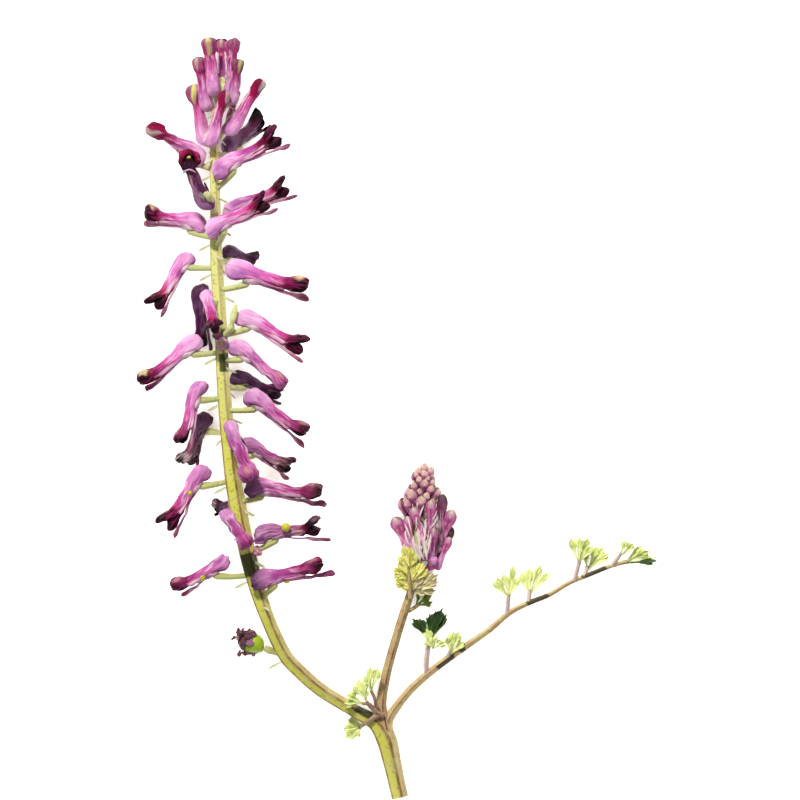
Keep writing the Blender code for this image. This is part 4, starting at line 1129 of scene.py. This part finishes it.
def petal_shapes(bloom):
    """Rings of the flower's petals in its own steps, each with its finish."""
    hood = OPEN_THROAT if bloom.name == FRONT_BLOOM else FILMS[bloom.bud, bloom.keel][1]
    shapes = [(rings_of(SPUR + TUBE + hood, upper_ring, 3), 0)]
    if bloom.bud:
        club_film = CLUB if bloom.shade else 0
        shapes += [(rings_of(BUD_CLUB, club_ring), club_film), (rings_of(BUD_SPOON, spoon_ring), 0)]
    elif bloom.name != FRONT_BLOOM:
        let_down = Matrix.Rotation(math.radians(bloom.drop), 3, "Y") @ Matrix.Diagonal((bloom.lip, 1, 1))

        def lowered(point):
            return HINGE + let_down @ (point - HINGE) if point.x > HINGE.x else point
        strap = [(along, [(lowered(point), *rest) for point, *rest in ring])
                 for along, ring in rings_of(LOWER_PETAL, strap_ring)]
        lift = MOUTH_LIFT if bloom.keel else 0.0
        inner = [(along, rise + lift * max(0.0, along / 70 - 0.7) / 0.3, *rest)
                 for along, rise, *rest in INNER_PETALS]
        shapes += [(rings_of(inner, club_ring), CLUB), (strap, STRAP)]
    return shapes


def sepals(skin, bloom, number):
    """The cup that the flower sits in, and its two thin sepals."""
    turn, spur, (long, wide) = bloom_frame(bloom)

    def local(x, y, z):
        return spur + turn @ (Vector((x * long, y * wide, z * wide)) * STEP)

    cup = []
    for rise, radius in CUP:
        def spot(angle):
            spread = radius * (1 + 0.1 * math.cos(5 * angle))
            return (local(bloom.seat + spread * math.cos(angle), spread * math.sin(angle), rise - CUP_LOW),
                    angle / math.tau)
        cup.append(((rise + CUP_FOOT) / CUP_SPAN, round_ring(spot)))
    # the cup and the sepals take part of the flower's painted shade
    skin.loft(cup, CUP_LEAF, bloom.shade * 0.6)
    for side in (-1, 1):
        root, tip = (local(bloom.seat + x, side * y, z) for x, y, z in (SEPAL_ROOT, SEPAL_TIP))
        tongue(skin, root, tip, turn @ Vector((0, side, -0.35)), SEPAL_WIDTH * wide, finish=SEPAL,
               shade=bloom.shade * 0.7, thick=0.9, cup=-0.8, seed=number)


def make_bloom(bloom, number):
    skin = Skin("petals_" + bloom.name, FILMS[bloom.bud, bloom.keel][0], inner_petal, lower_petal_film,
                sepal_film, young_leaf, ovary_skin, seed=number * 5.3)
    if bloom.name == FRONT_BLOOM:
        front_mouth(skin)
    for k, (rings, finish) in enumerate(petal_shapes(bloom)):
        skin.loft(place_rings(rings, bloom, number * 3.7 + k), finish, bloom.shade, bloom.spur_shadow)
    sepals(skin, bloom, number)
    if bloom.name in FLOWER_ENDS:
        end_on(skin, *FLOWER_ENDS[bloom.name])
    if bloom.name in OVARIES:
        ovary(skin, *OVARIES[bloom.name])
    return skin.piece("flower_" + bloom.name)


petals = [make_bloom(bloom, number) for number, bloom in enumerate(BLOOMS)]
print(sum(len(piece.data.polygons) for piece in petals), "faces in the flowers")

# %% [markdown]
# ## Flower stalks and bracts
#
# Every flower has a short stalk of its own that leaves the axis above a small pointed bract.
# The stalks follow paths, so the ridged stalk's tree makes them all at once. The bracts are one
# small blade that repeats. We could copy it in a loop, but then every copy would have to be
# turned by hand, so a second tree sets it on a cloud of points, each of which says which way its
# bract points and how long it is.

# %% Where the stalks run
STALK_RADIUS = 3.0
STALK_END = 3.8  # its radius where it widens under the flower
STALK_LOW = 9.5  # steps that it ends under the flower's middle line
STALK_INSIDE = 4.0  # steps that it reaches into the flower
FRUIT_SEAT = (on_sheet(268, 650, 44), Vector((0.9, -0.4, 0)).normalized())
POD_SEAT = (on_sheet(231, 328, 65), Vector((-0.1, -1, 0)).normalized())
BRACT_REACH = 13  # steps past the axis's skin


def seat_of(bloom):
    turn, spur, (long, wide) = bloom_frame(bloom)
    seat = spur + turn @ (Vector((bloom.seat * long, 0, -STALK_LOW * wide)) * STEP)
    return seat, turn @ Vector((0, 0, -1))


def stalk_route(joins, end, outward):
    x, height, _ = raceme_axis(joins)
    root = on_sheet(x, joins, height)
    sag = outward * (end - root).length
    path = [(*root, STALK_RADIUS), (*(root.lerp(end, 0.5) + sag * 0.04), STALK_RADIUS),
            (*(root.lerp(end, 0.88) + sag * 0.02), STALK_END), (*end, STALK_END),
            (*(end - outward * STALK_INSIDE * STEP), STALK_RADIUS)]
    return [(Vector(spot[:3]), spot[3] * STEP) for spot in smooth_route(path, 4)], root


stalks = [(bloom.joins, *seat_of(bloom), bloom.bract) for bloom in BLOOMS]
stalks += [(656, *FRUIT_SEAT, True), (338, *POD_SEAT, False)]
routes, bract_spots = [], []
for joins, end, outward, has_bract in stalks:
    route, root = stalk_route(joins, end, outward)
    routes.append(route)
    if has_bract:
        off_stem = Vector((end.x - root.x, 0, end.z - root.z)).normalized()
        way = (off_stem + Vector((0, -0.5, 0))).normalized()
        reach = (raceme_axis(joins)[2] + BRACT_REACH) * STEP
        bract_spots.append((root + Vector((0, -4 * STEP, 0)), way, UP, reach))
ridged_piece("flower_stalks", routes, flower_stalk_skin, "stem")
print(len(routes), "stalks,", len(bract_spots), "bracts")

# %% Tree: blades set on points
set_on_points, given = new_tree("set on points", {"Blade": "Object", "Skin": "Material", "Seed": "Int"})
tree, ROTATE = set_on_points, "FunctionNodeRotateRotation"
blade = add(tree, "GeometryNodeObjectInfo", {"Object": given["Blade"]}, out="Geometry")
spin = add(tree, "FunctionNodeRandomValue", {2: -0.5, 3: 0.5, "Seed": given["Seed"]}, out=1,
           data_type="FLOAT")
aimed = None
for label, axis in (("face", "Z"), ("way", "Y")):
    vector = add(tree, "GeometryNodeInputNamedAttribute", {"Name": label}, data_type="FLOAT_VECTOR")
    inputs = {"Vector": vector, "Rotation": aimed} if aimed else {"Vector": vector}
    aimed = add(tree, "FunctionNodeAlignRotationToVector", inputs, axis=axis)
twirl = add(tree, "FunctionNodeAxisAngleToRotation", {"Axis": (0, 1, 0), "Angle": spin})
turned = add(tree, ROTATE, {0: aimed, 1: twirl}, rotation_space="LOCAL")
reach = add(tree, "GeometryNodeInputNamedAttribute", {"Name": "reach"})
points = add(tree, "GeometryNodeMeshToPoints", {"Mesh": given["Geometry"]})
blades = add(tree, "GeometryNodeInstanceOnPoints", {
    "Points": points, "Instance": blade, "Rotation": turned, "Scale": reach})
end_tree(tree, blades, given["Skin"])
print(len(set_on_points.nodes), "nodes in the tree")


# %% The bracts
def blade_cloud(name, spots, blade_skin, seed, *nodes, **sizes):
    """A blade on every spot, (point, way, face, reach) in metres. sizes are the blade's, as
    shares of its length."""
    unit = Skin(name + "_blade")
    sizes = {key: share / STEP for key, share in sizes.items()}
    tongue(unit, Vector((0, 0, 0)), Vector((0, 1, 0)), UP, **sizes)
    blade = placed(unit.name, unit.mesh())
    points, ways, faces, reaches = zip(*spots)
    source = points_object(name + "_points", points, [], {"way": ways, "face": faces, "reach": reaches})
    made = grow(name, source, set_on_points, {"Blade": blade, "Skin": blade_skin, "Seed": seed})
    bpy.data.objects.remove(blade)
    return dress(made, *nodes)


bracts = blade_cloud("bracts", bract_spots, bract_film, 3, "stem", width=0.14, thick=0.05, fold=0.05,
                     curl=0.05)
print(len(bracts.data.polygons), "faces in the bracts")

# %% [markdown]
# ## The head of buds
#
# The young raceme is a cone of closed buds in a spiral, smallest at the tip. Each next bud is
# turned by the golden angle, as on the plant. Placed by hand they would never look so even.
# It is a rule, so a third tree follows it: points along the head's axis, pushed off it, leaning
# outwards, each carrying a bud. The larger buds lower down break the rule, so they are lofted
# one by one from where they lie on the sheet.

# %% One bud
# along, radius: shares of the bud's length and of its widest radius
SMALL_BUD = [(0, 0.3), (0.15, 0.5), (0.4, 0.76), (0.58, 0.98), (0.72, 1.0), (0.85, 0.76), (0.94, 0.42),
             (1, 0.05)]
LARGE_BUD = [(0, 0.5), (0.1, 0.8), (0.25, 0.66), (0.5, 0.56), (0.66, 0.8), (0.82, 1.0), (0.92, 0.8),
             (0.98, 0.4), (1, 0.08)]
BUD_SIDES = 14
BUD_KEEL = 0.12  # how far the keel stands out, as a share of the radius


def bud_loft(skin, base, tip, face, radius, shape, per_span=2, shade=0.0):
    """A closed bud: a club with a keel on its upper side, in metres."""
    way = tip - base
    side, over = beside(way, face)
    rings = []
    for place, share in smooth_route(shape, per_span):
        def spot(angle):
            around = from_top(angle) / math.pi
            keel = 1 + BUD_KEEL * max(0, 1 - around * 7) * max(0, place - 0.3)
            groove = 1 - 0.1 * math.exp(-(((around - 0.62) / 0.07) ** 2))
            reach = max(share, 0.03) * radius * keel * groove
            return base + way * place + (over * math.cos(angle) + side * math.sin(angle)) * reach, around
        rings.append((place, round_ring(spot, BUD_SIDES)))
    skin.loft(rings, 0, shade)


unit_bud = Skin("unit_bud")
bud_loft(unit_bud, Vector(), Vector((0, 0, 1)), Vector((-1, 0, 0)), 0.27, SMALL_BUD)
bud_object = placed("unit_bud", unit_bud.mesh())
print(len(bud_object.data.polygons), "faces to a small bud")

# %% The buds' films
# the first stop, near-black crimson at a bud's base, is painted shade between the crowded buds
YOUNG_STOPS = [(0, "#3A0A22"), (1, "#84685E"), (0.35, "#A85A7C"), (0.6, "#C27E98"), (0.78, "#CCA0A6"),
               (0.9, "#D6C6AC")]
LARGE_STOPS = [(0, "#D49CC0"), (1, "#8E7C74"), (0.25, "#E2A6CC"), (0.5, "#D27CAC"), (0.72, "#BC588A"),
               (0.85, "#C47CB4"), (0.93, "#B0909C")]
# The smallest buds' petals, fresh: dusty pink under a bloom of wax, their tips leaf-coloured.
# Their bases and lower sides are painted dark crimson: painted shade between the crowded buds.
young_bud_petal = petal_material(
    "young_bud_film", YOUNG_STOPS, keel="#CDBCA2", keel_from=0.6, streak="#E2CCC8", veined=0.4, aged=0.0,
    flank="#4A0A2C", flank_from=0.3, flanked=0.85)
# The head's larger buds, fresh: glossier magenta clubs with pale stripes and beige tips.
# Their lower sides, and whole buds that lie in shadow, are painted deep crimson as shade.
large_bud_petal = petal_material(
    "large_bud_film", LARGE_STOPS, keel="#C2B6A4", keel_from=0.74, keel_core=0.3, aged=0.0,
    shaded="#5A0A36", flank="#46082C", flank_from=0.32, flanked=0.85)
print(len(bpy.data.materials), "materials")

# %% Tree: buds in a spiral
spiral_buds, given = new_tree("spiral of buds", {
    "Count": "Int", "Golden angle": "Float", "Off axis": "Float", "Youngest": "Float",
    "Oldest": "Float", "Lean": "Float", "Bud": "Object", "Skin": "Material", "Seed": "Int"})
tree = spiral_buds
line = add(tree, "GeometryNodeMeshToCurve", {"Mesh": given["Geometry"]})
line = add(tree, "GeometryNodeSetCurveNormal", {"Curve": line}, mode="Z_UP")
spaced = add(tree, "GeometryNodeCurveToPoints", {"Curve": line, "Count": given["Count"]}, mode="COUNT")
index = add(tree, "GeometryNodeInputIndex")
last = reckon(tree, {}, [given["Count"]], [-1.0])
age = add(tree, "ShaderNodeMath", {0: index, 1: last}, operation="DIVIDE")
jitter = add(tree, "FunctionNodeRandomValue", {2: 0.75, 3: 1.2, "Seed": given["Seed"]}, out=1,
             data_type="FLOAT")
# The line runs down from the tip, so a bud turned by half a turn less its lean points up and out.
leant = reckon(tree, {}, [math.pi], [given["Lean"], jitter, -1.0])
rotations = [spaced.node.outputs["Rotation"]]
for axis, angle in (((0, 0, 1), reckon(tree, {}, [index, given["Golden angle"]])), ((0, 1, 0), leant)):
    turn_by = add(tree, "FunctionNodeAxisAngleToRotation", {"Axis": axis, "Angle": angle})
    rotations.append(add(tree, ROTATE, {0: rotations[-1], 1: turn_by}, rotation_space="LOCAL"))
widening = add(tree, "ShaderNodeMath", {0: age, 1: 0.55}, operation="POWER")
reach = add(tree, "ShaderNodeCombineXYZ", {0: reckon(tree, {}, [widening, given["Off axis"]])})
push = add(tree, "FunctionNodeRotateVector", {0: reach, 1: rotations[1]})
points = add(tree, "GeometryNodeSetPosition", {"Geometry": spaced, "Offset": push})
grown = add(tree, "ShaderNodeMapRange", {0: age, 1: 0.0, 2: 1.0, 3: given["Youngest"], 4: given["Oldest"]})
bud = add(tree, "GeometryNodeObjectInfo", {"Object": given["Bud"]}, out="Geometry")
buds = add(tree, "GeometryNodeInstanceOnPoints", {
    "Points": points, "Instance": bud, "Rotation": rotations[2], "Scale": reckon(tree, {}, [grown, jitter])})
end_tree(tree, buds, given["Skin"])
print(len(spiral_buds.nodes), "nodes in the tree")

# %% Where the head's buds and bracts lie
TIP_BUDS = [  # base, tip, radius, shade: painted shade on the buds that lie in shadow
    ((423, 480, 27), (425, 463, 29), 4.3, 0.0), ((420, 483, 29), (418, 467, 31), 4.0, 0.0),
    ((428, 483, 27), (432, 466, 29), 4.1, 0.0), ((424, 484, 32), (425, 470, 36), 3.8, 0.0)]
LARGE_BUDS = [
    ((410, 553, 30), (394, 517, 36), 7.4, 0.0), ((413, 552, 36), (407, 516, 42), 5.4, 0.0),
    ((437, 552, 30), (453, 510, 36), 7.2, 0.0), ((436, 566, 26), (452, 527, 28), 5.6, 0.9),
    ((437, 570, 30), (450, 537, 36), 4.8, 0.0), ((431, 566, 36), (434, 527, 50), 5.0, 0.0),
    ((427, 558, 32), (428, 528, 42), 5.0, 0.85), ((424, 544, 40), (413, 507, 49), 5.8, 0.0),
    ((430, 540, 42), (431, 500, 50), 5.6, 0.0), ((440, 546, 36), (443, 494, 36), 5.6, 0.8),
    ((422, 560, 26), (412, 530, 10), 7.0, 0.0), ((428, 560, 26), (442, 526, 12), 7.0, 0.8),
    ((436, 562, 38), (420, 554, 43), 6.4, 0.0), ((418, 578, 32), (437, 561, 34), 5.6, 0.0),
    ((434, 556, 34), (438, 520, 44), 4.6, 0.8)]
WHITE_VEILS = [  # base, tip, width: thin white bracts round the lower buds
    ((417, 562, 48), (413, 536, 57), 3), ((420, 562, 50), (419, 541, 58), 4),
    ((424, 560, 50), (416, 545, 59), 4), ((427, 556, 50), (431, 534, 57), 2.4),
    ((423, 556, 48), (427, 540, 59), 3), ((424, 548, 50), (426, 518, 56), 2.4),
    ((415, 556, 50), (422, 546, 59), 4), ((419, 560, 50), (413, 541, 59), 4.5),
    ((427, 560, 50), (423, 537, 59), 4), ((420, 552, 52), (418, 529, 59), 3)]
print(len(LARGE_BUDS), "large buds")

# %% The head
HEAD_BASE, HEAD_TIP = on_sheet(412, 588, 30), on_sheet(425, 465, 27)
HEAD_CORE = [(0, 4), (0.25, 8), (0.55, 8), (0.8, 3.5), (0.88, 2)]  # along, radius
SPIRAL_SHARES = (0.88, 0.78, 0.67, 0.54)  # of the way from the head's base, from the tip down
head_way = HEAD_TIP - HEAD_BASE
spiral_line = lines_object("spiral_line", [[(HEAD_BASE + head_way * share, STEP) for share in SPIRAL_SHARES]])
small_buds = grow("small_buds", spiral_line, spiral_buds, {
    "Count": 44, "Golden angle": GOLDEN_ANGLE, "Off axis": 10.5 * STEP, "Youngest": 13 * STEP,
    "Oldest": 21 * STEP, "Lean": math.radians(24), "Bud": bud_object, "Skin": young_bud_petal, "Seed": 5})
dress(small_buds, "bud_head")
bpy.data.objects.remove(bud_object)
core = [(HEAD_BASE + head_way * share, radius * STEP) for share, radius in HEAD_CORE]
ridged_piece("head_axis", [core], flower_stalk_skin, "bud_head")

for name, buds, film, shape, per_span in (("tip_buds", TIP_BUDS, young_bud_petal, SMALL_BUD, 2),
                                          ("large_buds", LARGE_BUDS, large_bud_petal, LARGE_BUD, 3)):
    skin = Skin(name, film)
    for base, tip, radius, shade in buds:
        bud_loft(skin, on_sheet(*base), on_sheet(*tip), UP, radius * STEP, shape, per_span, shade)
    skin.piece("bud_head")
veils = Skin("white_veils", white_bract)
for number, (base, tip, width) in enumerate(WHITE_VEILS):
    tongue(veils, on_sheet(*base), on_sheet(*tip), UP, width, thick=0.6, cup=-0.8, seed=3.0 * number)
veils.piece("bud_head")
print(len(small_buds.data.polygons), "faces in the small buds")

# %% Thin white bracts between the buds
HAIR_BRACTS = 30
HAIR_FROM, HAIR_SPAN = 0.3, 0.32  # of the head's length, from its base
HAIR_LENGTH = (15, 6)  # steps, and how far it varies
hair_spots = []
side, over = beside(head_way)
for i in range(HAIR_BRACTS):
    angle, share = math.pi / 2 + 0.45 * math.sin(i * 2.4) - 0.1, HAIR_FROM + HAIR_SPAN * i / HAIR_BRACTS
    radial = side * math.cos(angle) + over * math.sin(angle)
    root = HEAD_BASE + head_way * share + radial * (22 - 14 * share) * STEP
    way = (head_way.normalized() + radial * 0.4 + side * 0.5 * math.sin(i * 5.1)).normalized()
    reach = HAIR_LENGTH[0] + HAIR_LENGTH[1] * math.sin(i * 1.3)
    hair_spots.append((root, way, radial, reach * STEP))
hair = blade_cloud("white_bracts", hair_spots, white_bract, 8, "bud_head", width=0.075, thick=0.04, fold=0.03,
                   curl=0.22)
print(len(hair.data.polygons), "faces in the white bracts")

# %% [markdown]
# ## The leaves
#
# A fumitory leaf is divided twice: leaflets on thin stalks, and each leaflet cut into lobes. A
# flat sheet cut out along the leaflet's outline would look like paper. Here each lobe is a
# tongue with a fold along its midrib, so that it catches light on one side. The lobes of a
# leaflet share one base and overlap a little there.

# %% Where the leaves lie, close to the solid model's
LONG_LEAF_STALK = [
    (389, 738, 14, 5.4), (388, 723, 15, 5.0),
    (395, 710, 14, 4.6), (410, 691, 17, 4.2), (430, 673, 20, 3.9), (450, 658, 22, 3.7),
    (470, 644, 24, 3.5), (490, 630, 25, 3.2), (510, 613, 26, 2.9), (530, 603, 26, 2.7),
    (550, 595, 25, 2.5), (570, 583, 24, 2.4), (590, 575, 22, 2.3), (610, 567, 20, 2.2),
    (628, 562, 18, 2.1)]
LEAFLET_STALKS = [
    [(426, 675, 20, 2.3), (427, 660, 26, 2.2), (429, 645, 30, 2.1)],
    [(448, 660, 22, 2.2), (450, 652, 26, 2.0)],
    [(507, 615, 26, 2.4), (509, 594, 30, 2.1)],
    [(529, 604, 26, 2.4), (530, 590, 24, 2.1)],
    [(575, 581, 24, 2.3), (580, 560, 28, 2.1)],
    [(584, 578, 23, 2.3), (588, 567, 18, 2.1)],
    [(612, 567, 20, 2.2), (622, 553, 24, 2.0)]]
LONG_LEAF = [  # base, then the lobes' tips
    [(433, 649, 31), (424, 641, 33), (426, 629, 34), (438, 637, 35), (446, 642, 33)],
    [(450, 655, 26), (447, 635, 30), (454, 631, 31), (460, 631, 30), (465, 642, 28)],
    [(509, 598, 30), (492, 581, 33), (497, 576, 34), (503, 573, 34), (514, 564, 32), (520, 577, 30)],
    [(530, 595, 24), (521, 572, 25), (530, 567, 26), (541, 564, 26), (551, 572, 25)],
    [(579, 563, 28), (571, 537, 32), (580, 536, 33), (589, 537, 32), (594, 546, 30)],
    [(588, 570, 18), (586, 551, 16), (598, 546, 16), (605, 547, 17), (610, 553, 17)],
    [(621, 556, 24), (627, 540, 27), (635, 543, 27)],
    [(626, 563, 18), (643, 546, 21), (651, 550, 22), (658, 560, 20)]]
DARK_LEAF = [
    [(428, 640, 13), (412, 619, 16), (419, 619, 15)],
    [(430, 641, 15), (429, 614, 19), (436, 611, 20), (443, 608, 19), (447, 614, 18)]]
STALK_LEAFLET = [[(416, 606, 27), (421, 593, 28), (432, 592, 29), (433, 602, 28)]]
FORK_LEAF = [
    [(362, 704, 33), (344, 704, 33), (346, 695, 34), (350, 692, 34)],
    [(366, 701, 34), (351, 686, 35), (358, 679, 35), (363, 682, 35), (366, 691, 35)],
    [(371, 692, 35), (364, 675, 38), (371, 666, 39), (378, 667, 38)]]
FORK_LEAFLET = [[(362, 727, 9), (355, 738, 9), (345, 739, 10), (342, 730, 10), (347, 721, 10)]]
YELLOW_RUFF = [
    [(410, 592, 38), (399, 578, 38), (405, 562, 40), (413, 556, 40), (421, 568, 40)],
    [(412, 591, 41), (402, 586, 42), (395, 580, 43), (394, 570, 44)],
    [(409, 578, 43), (396, 575, 45), (394, 567, 47), (398, 560, 48)],
    [(410, 568, 46), (398, 556, 49), (404, 544, 52), (411, 547, 53), (417, 555, 52)],
    [(412, 582, 46), (415, 566, 50), (424, 562, 50), (428, 569, 48)]]
FADED_RUFF = [
    [(412, 592, 41), (424, 575, 45), (433, 570, 45), (439, 574, 44)],
    [(414, 592, 42), (439, 582, 43), (436, 590, 42), (426, 594, 42), (421, 583, 44)]]
# a thin blade in the shaded leaf film along the last leaflet's lower edge: painted shade
SHADED_EDGE_LOBE = [[(622, 564.5, 21), (658, 561.5, 25)]]
print(sum(len(leaflet) - 1 for leaflet in LONG_LEAF), "lobes on the long leaf")

# %% Where the small leaves' stalks run
DARK_STALKS = [[(425, 668, 10, 2.2), (429, 636, 13, 2.2)]]
STALK_LEAFLET_STALKS = [[(405, 613, 28, 2.0), (413, 609, 27, 2.0), (420, 604, 27, 1.8)]]
FORK_STALKS = [
    [(383, 717, 24, 2.4), (374, 711, 30, 2.2), (366, 702, 33, 1.9)],
    [(376, 712, 30, 1.9), (370, 705, 33, 1.7), (362, 704, 33, 1.6)],
    [(376, 708, 28, 1.9), (375, 700, 34, 1.7), (371, 691, 35, 1.6)]]
FORK_LEAFLET_STALKS = [[(384, 715, 24, 2.6), (376, 717, 27, 2.6), (367, 723, 26, 2.1), (360, 728, 11, 1.9)]]
RUFF_RIBS = [[(411, 598, 38, 2.8), (410, 588, 42, 2.4), (409, 578, 45, 1.8), (408, 566, 47, 1.0)]]
print(len(FORK_STALKS), "stalks in the fork")

# %% Lobes
WEDGE = [(0, 0.2), (0.3, 0.34), (0.55, 0.66), (0.75, 1.0), (0.88, 0.9), (0.96, 0.5)]
TOOTH = [(0, 0.5), (0.3, 0.86), (0.55, 1.0), (0.8, 0.66), (0.94, 0.3), (1, 0.05)]
WEDGE_PART = 0.92  # of the lobe's length
TOOTH_WIDTH = 3.7
TOOTH_FROM = 0.52  # of the lobe's length
TOOTH_SPREAD = 3.2  # steps between teeth
SIDE_TOOTH_SHORT = 0.13  # of the lobe's length that the side teeth end lower by


def lobed_leaf(name, leaflets, blade_skin, node, width=6.8, fold=2.4, broad=0.33):
    """Each lobe is a wedge that ends in three teeth."""
    skin = Skin(name, blade_skin)
    for k, (base, *tips) in enumerate(leaflets):
        for i, tip in enumerate(tips):
            start, end = on_sheet(*base), on_sheet(*tip)
            lift = Vector((0.4 * math.sin(i * 2.4 + k), 0.4 * math.cos(i * 1.7 + k), 1))
            way = end - start
            across = way.cross(UP).normalized() * STEP
            wide = min(width, way.length / STEP * broad)
            bend = 0.9 + 0.7 * math.sin(i * 3.1 + k)
            tongue(skin, start, start + way * WEDGE_PART, lift, wide, shape=WEDGE, thick=1.1, fold=fold,
                   curl=bend, ruffle=2.2, seed=i + k * 7.0)
            for tooth in (-1, 0, 1):
                root = start + way * (TOOTH_FROM + 0.05 * tooth * math.sin(i + k)) + across * tooth * 0.8
                point = end - way * SIDE_TOOTH_SHORT * abs(tooth) + across * tooth * TOOTH_SPREAD
                lean = lift + Vector((0.5 * tooth * math.sin(i * 1.3), 0.5 * tooth * math.cos(k + i), 0))
                tongue(skin, root, point, lean, TOOTH_WIDTH, shape=TOOTH, thick=1.0,
                       fold=fold * 0.8, curl=bend * 0.8, ruffle=1.2, seed=tooth + i * 3.0 + k)
    return skin.piece(node)


# %% Making the leaves
LEAF_STALK_RIDGES = 4


def leaf_stalks(name, routes, skin, node, per_span=4, sides=12, depth=0.1):
    """Leaf stalks, of which every leaf has some: rods with a few low ridges."""
    routes = [sheet_route(route, per_span) for route in routes]
    ridged_piece(name, routes, skin, node, sides, LEAF_STALK_RIDGES, depth)


lobed_leaf("long_leaf_blades", LONG_LEAF, young_leaf, "long_leaf")
leaf_stalks("leaf_rachis", [LONG_LEAF_STALK], rachis_skin, "long_leaf", per_span=3, sides=18, depth=0.12)
leaf_stalks("leaflet_stalks", LEAFLET_STALKS, mauve_stalk_skin, "long_leaf", per_span=3)
lobed_leaf("folded_lobe_blade", SHADED_EDGE_LOBE, dark_leaf, "long_leaf", width=2.6, fold=0.6)
lobed_leaf("dark_leaf_blades", DARK_LEAF, dark_leaf, "dark_leaf", width=8.0)
leaf_stalks("dark_leaf_stalk", DARK_STALKS, mauve_stalk_skin, "dark_leaf")
lobed_leaf("stalk_leaflet_blades", STALK_LEAFLET, half_shaded_leaf, "stalk_leaflet")
leaf_stalks("stalk_leaflet_stalk", STALK_LEAFLET_STALKS, head_stalk_skin, "stalk_leaflet")
lobed_leaf("fork_leaf_blades", FORK_LEAF, young_leaf, "fork_leaf")
leaf_stalks("fork_leaf_stalk", FORK_STALKS, brown_stalk_skin, "fork_leaf")
leaf_stalks("fork_leaflet_stalk", FORK_LEAFLET_STALKS, brown_stalk_skin, "fork_leaflet")
lobed_leaf("fork_leaflet_blades", FORK_LEAFLET, young_leaf, "fork_leaflet", width=10.0, broad=0.55)
lobed_leaf("ruff_leaf_blades", YELLOW_RUFF, ruff_film, "ruff_leaf", width=9.0, fold=2.6, broad=0.45)
leaf_stalks("ruff_rib", RUFF_RIBS, head_stalk_skin, "ruff_leaf", sides=14)
lobed_leaf("ruff_leaf_faded_blades", FADED_RUFF, faded_leaf, "ruff_leaf", width=8.0, fold=3.4, broad=0.4)

# %% [markdown]
# ## Fruit, dried petals and pod
#
# At the raceme's foot one flower has set seed: a round green nutlet, with the dried petals still
# on its end, dark, ragged and curled. Higher up, a slim young pod has lost its flower. A UV
# sphere would do for the nutlet, but lofting it from a few stations gives it the plant's slight
# taper. The dried petals are the blades that made the leaves, with more ruffle.

# %% Fruit and pod
FRUIT = [(263, 650, 44, 2.4), (260, 647, 44, 7.4), (254, 644, 44, 10.2), (248, 642, 44, 9.6),
         (243, 640, 44, 6.0)]
POD = [(232, 324, 66, 1.6), (233, 319, 67, 3.4), (235, 311, 68, 3.2), (236, 305, 69, 1.2)]
END_RADIUS, LEAST_RADIUS = 0.6, 0.2  # steps: of their closed ends, and anywhere


def round_piece(name, points, film, sides, node):
    """A smooth round body through (x, y, height, radius) stations, closed at its ends."""
    skin = Skin(name, film)
    route = sheet_route([(*points[0][:3], END_RADIUS), *points, (*points[-1][:3], END_RADIUS)], 4)
    way = (route[-1][0] - route[0][0]).normalized()
    side, over = beside(way)
    rings = []
    for k, (point, radius) in enumerate(route):
        reach = max(radius, LEAST_RADIUS * STEP)

        def spot(angle):
            return point + (side * math.cos(angle) + over * math.sin(angle)) * reach, 0.5
        rings.append((k / (len(route) - 1), round_ring(spot, sides)))
    skin.loft(rings)
    return skin.piece(node)


nutlet = round_piece("nutlet", FRUIT, fruit_skin, 20, "fruit")
slim_pod = round_piece("slim_pod", POD, pod_skin, 16, "young_pod")
print("made", nutlet.name, "and", slim_pod.name)

# %% Dried petals
NUT_CENTRE, NUT_RADIUS = on_sheet(251, 643, 44), 11.4 * STEP
WRAPS, SHREDS, FRINGE = 12, 12, 7
WRAP_WIDTH, SHRED_WIDTH, FRINGE_WIDTH = 8.5, 4.6, 4.4
shreds = Skin("dried_petals", withered, faded_petal)
pole = Vector((-0.7, 0.6, 0.36)).normalized()
side, over = beside(pole)
for i in range(WRAPS):  # petals that still wrap the nut
    turn = i * math.tau / WRAPS
    out = side * math.cos(turn) + over * math.sin(turn)
    reach = math.radians(70 + 14 * math.sin(i * 2.7))
    start = NUT_CENTRE + (pole + out * 0.1).normalized() * NUT_RADIUS * 1.06
    end = NUT_CENTRE + (pole * math.cos(reach) + out * math.sin(reach)) * NUT_RADIUS * 1.04
    tongue(shreds, start, end, pole + out * 0.6, WRAP_WIDTH, finish=i % 3 == 0, thick=0.9, fold=0.6,
           curl=1.8, ruffle=2.6, seed=i * 2.3)
for i in range(SHREDS):  # and curl off its end
    turn = i * GOLDEN_ANGLE
    out = side * math.cos(turn) + over * math.sin(turn)
    start = NUT_CENTRE + (pole + out * 0.25).normalized() * NUT_RADIUS * 0.95
    end = start + (pole * 0.55 + out * 0.85 + Vector((-0.3, 0, 0))) * (7 + 2 * math.sin(i * 3.3)) * STEP
    tongue(shreds, start, end, pole - out * 0.5, SHRED_WIDTH, finish=i % 4 == 1, thick=0.8, fold=1.4,
           curl=1.8, ruffle=3.0, seed=i * 1.7)
for i in range(FRINGE):  # and a ragged edge below
    start = on_sheet(240 + i * 2.6, 650 + 1.5 * math.sin(i * 1.9), 46)
    end = on_sheet(238.5 + i * 3.0, 655.5 + 1.5 * math.cos(i * 2.6), 45)
    tongue(shreds, start, end, UP, FRINGE_WIDTH, finish=i % 2, thick=0.8, fold=0.8, curl=1.0,
           ruffle=2.4, seed=i)
shreds.piece("withered_flower")
print(WRAPS + SHREDS + FRINGE, "dried petals")
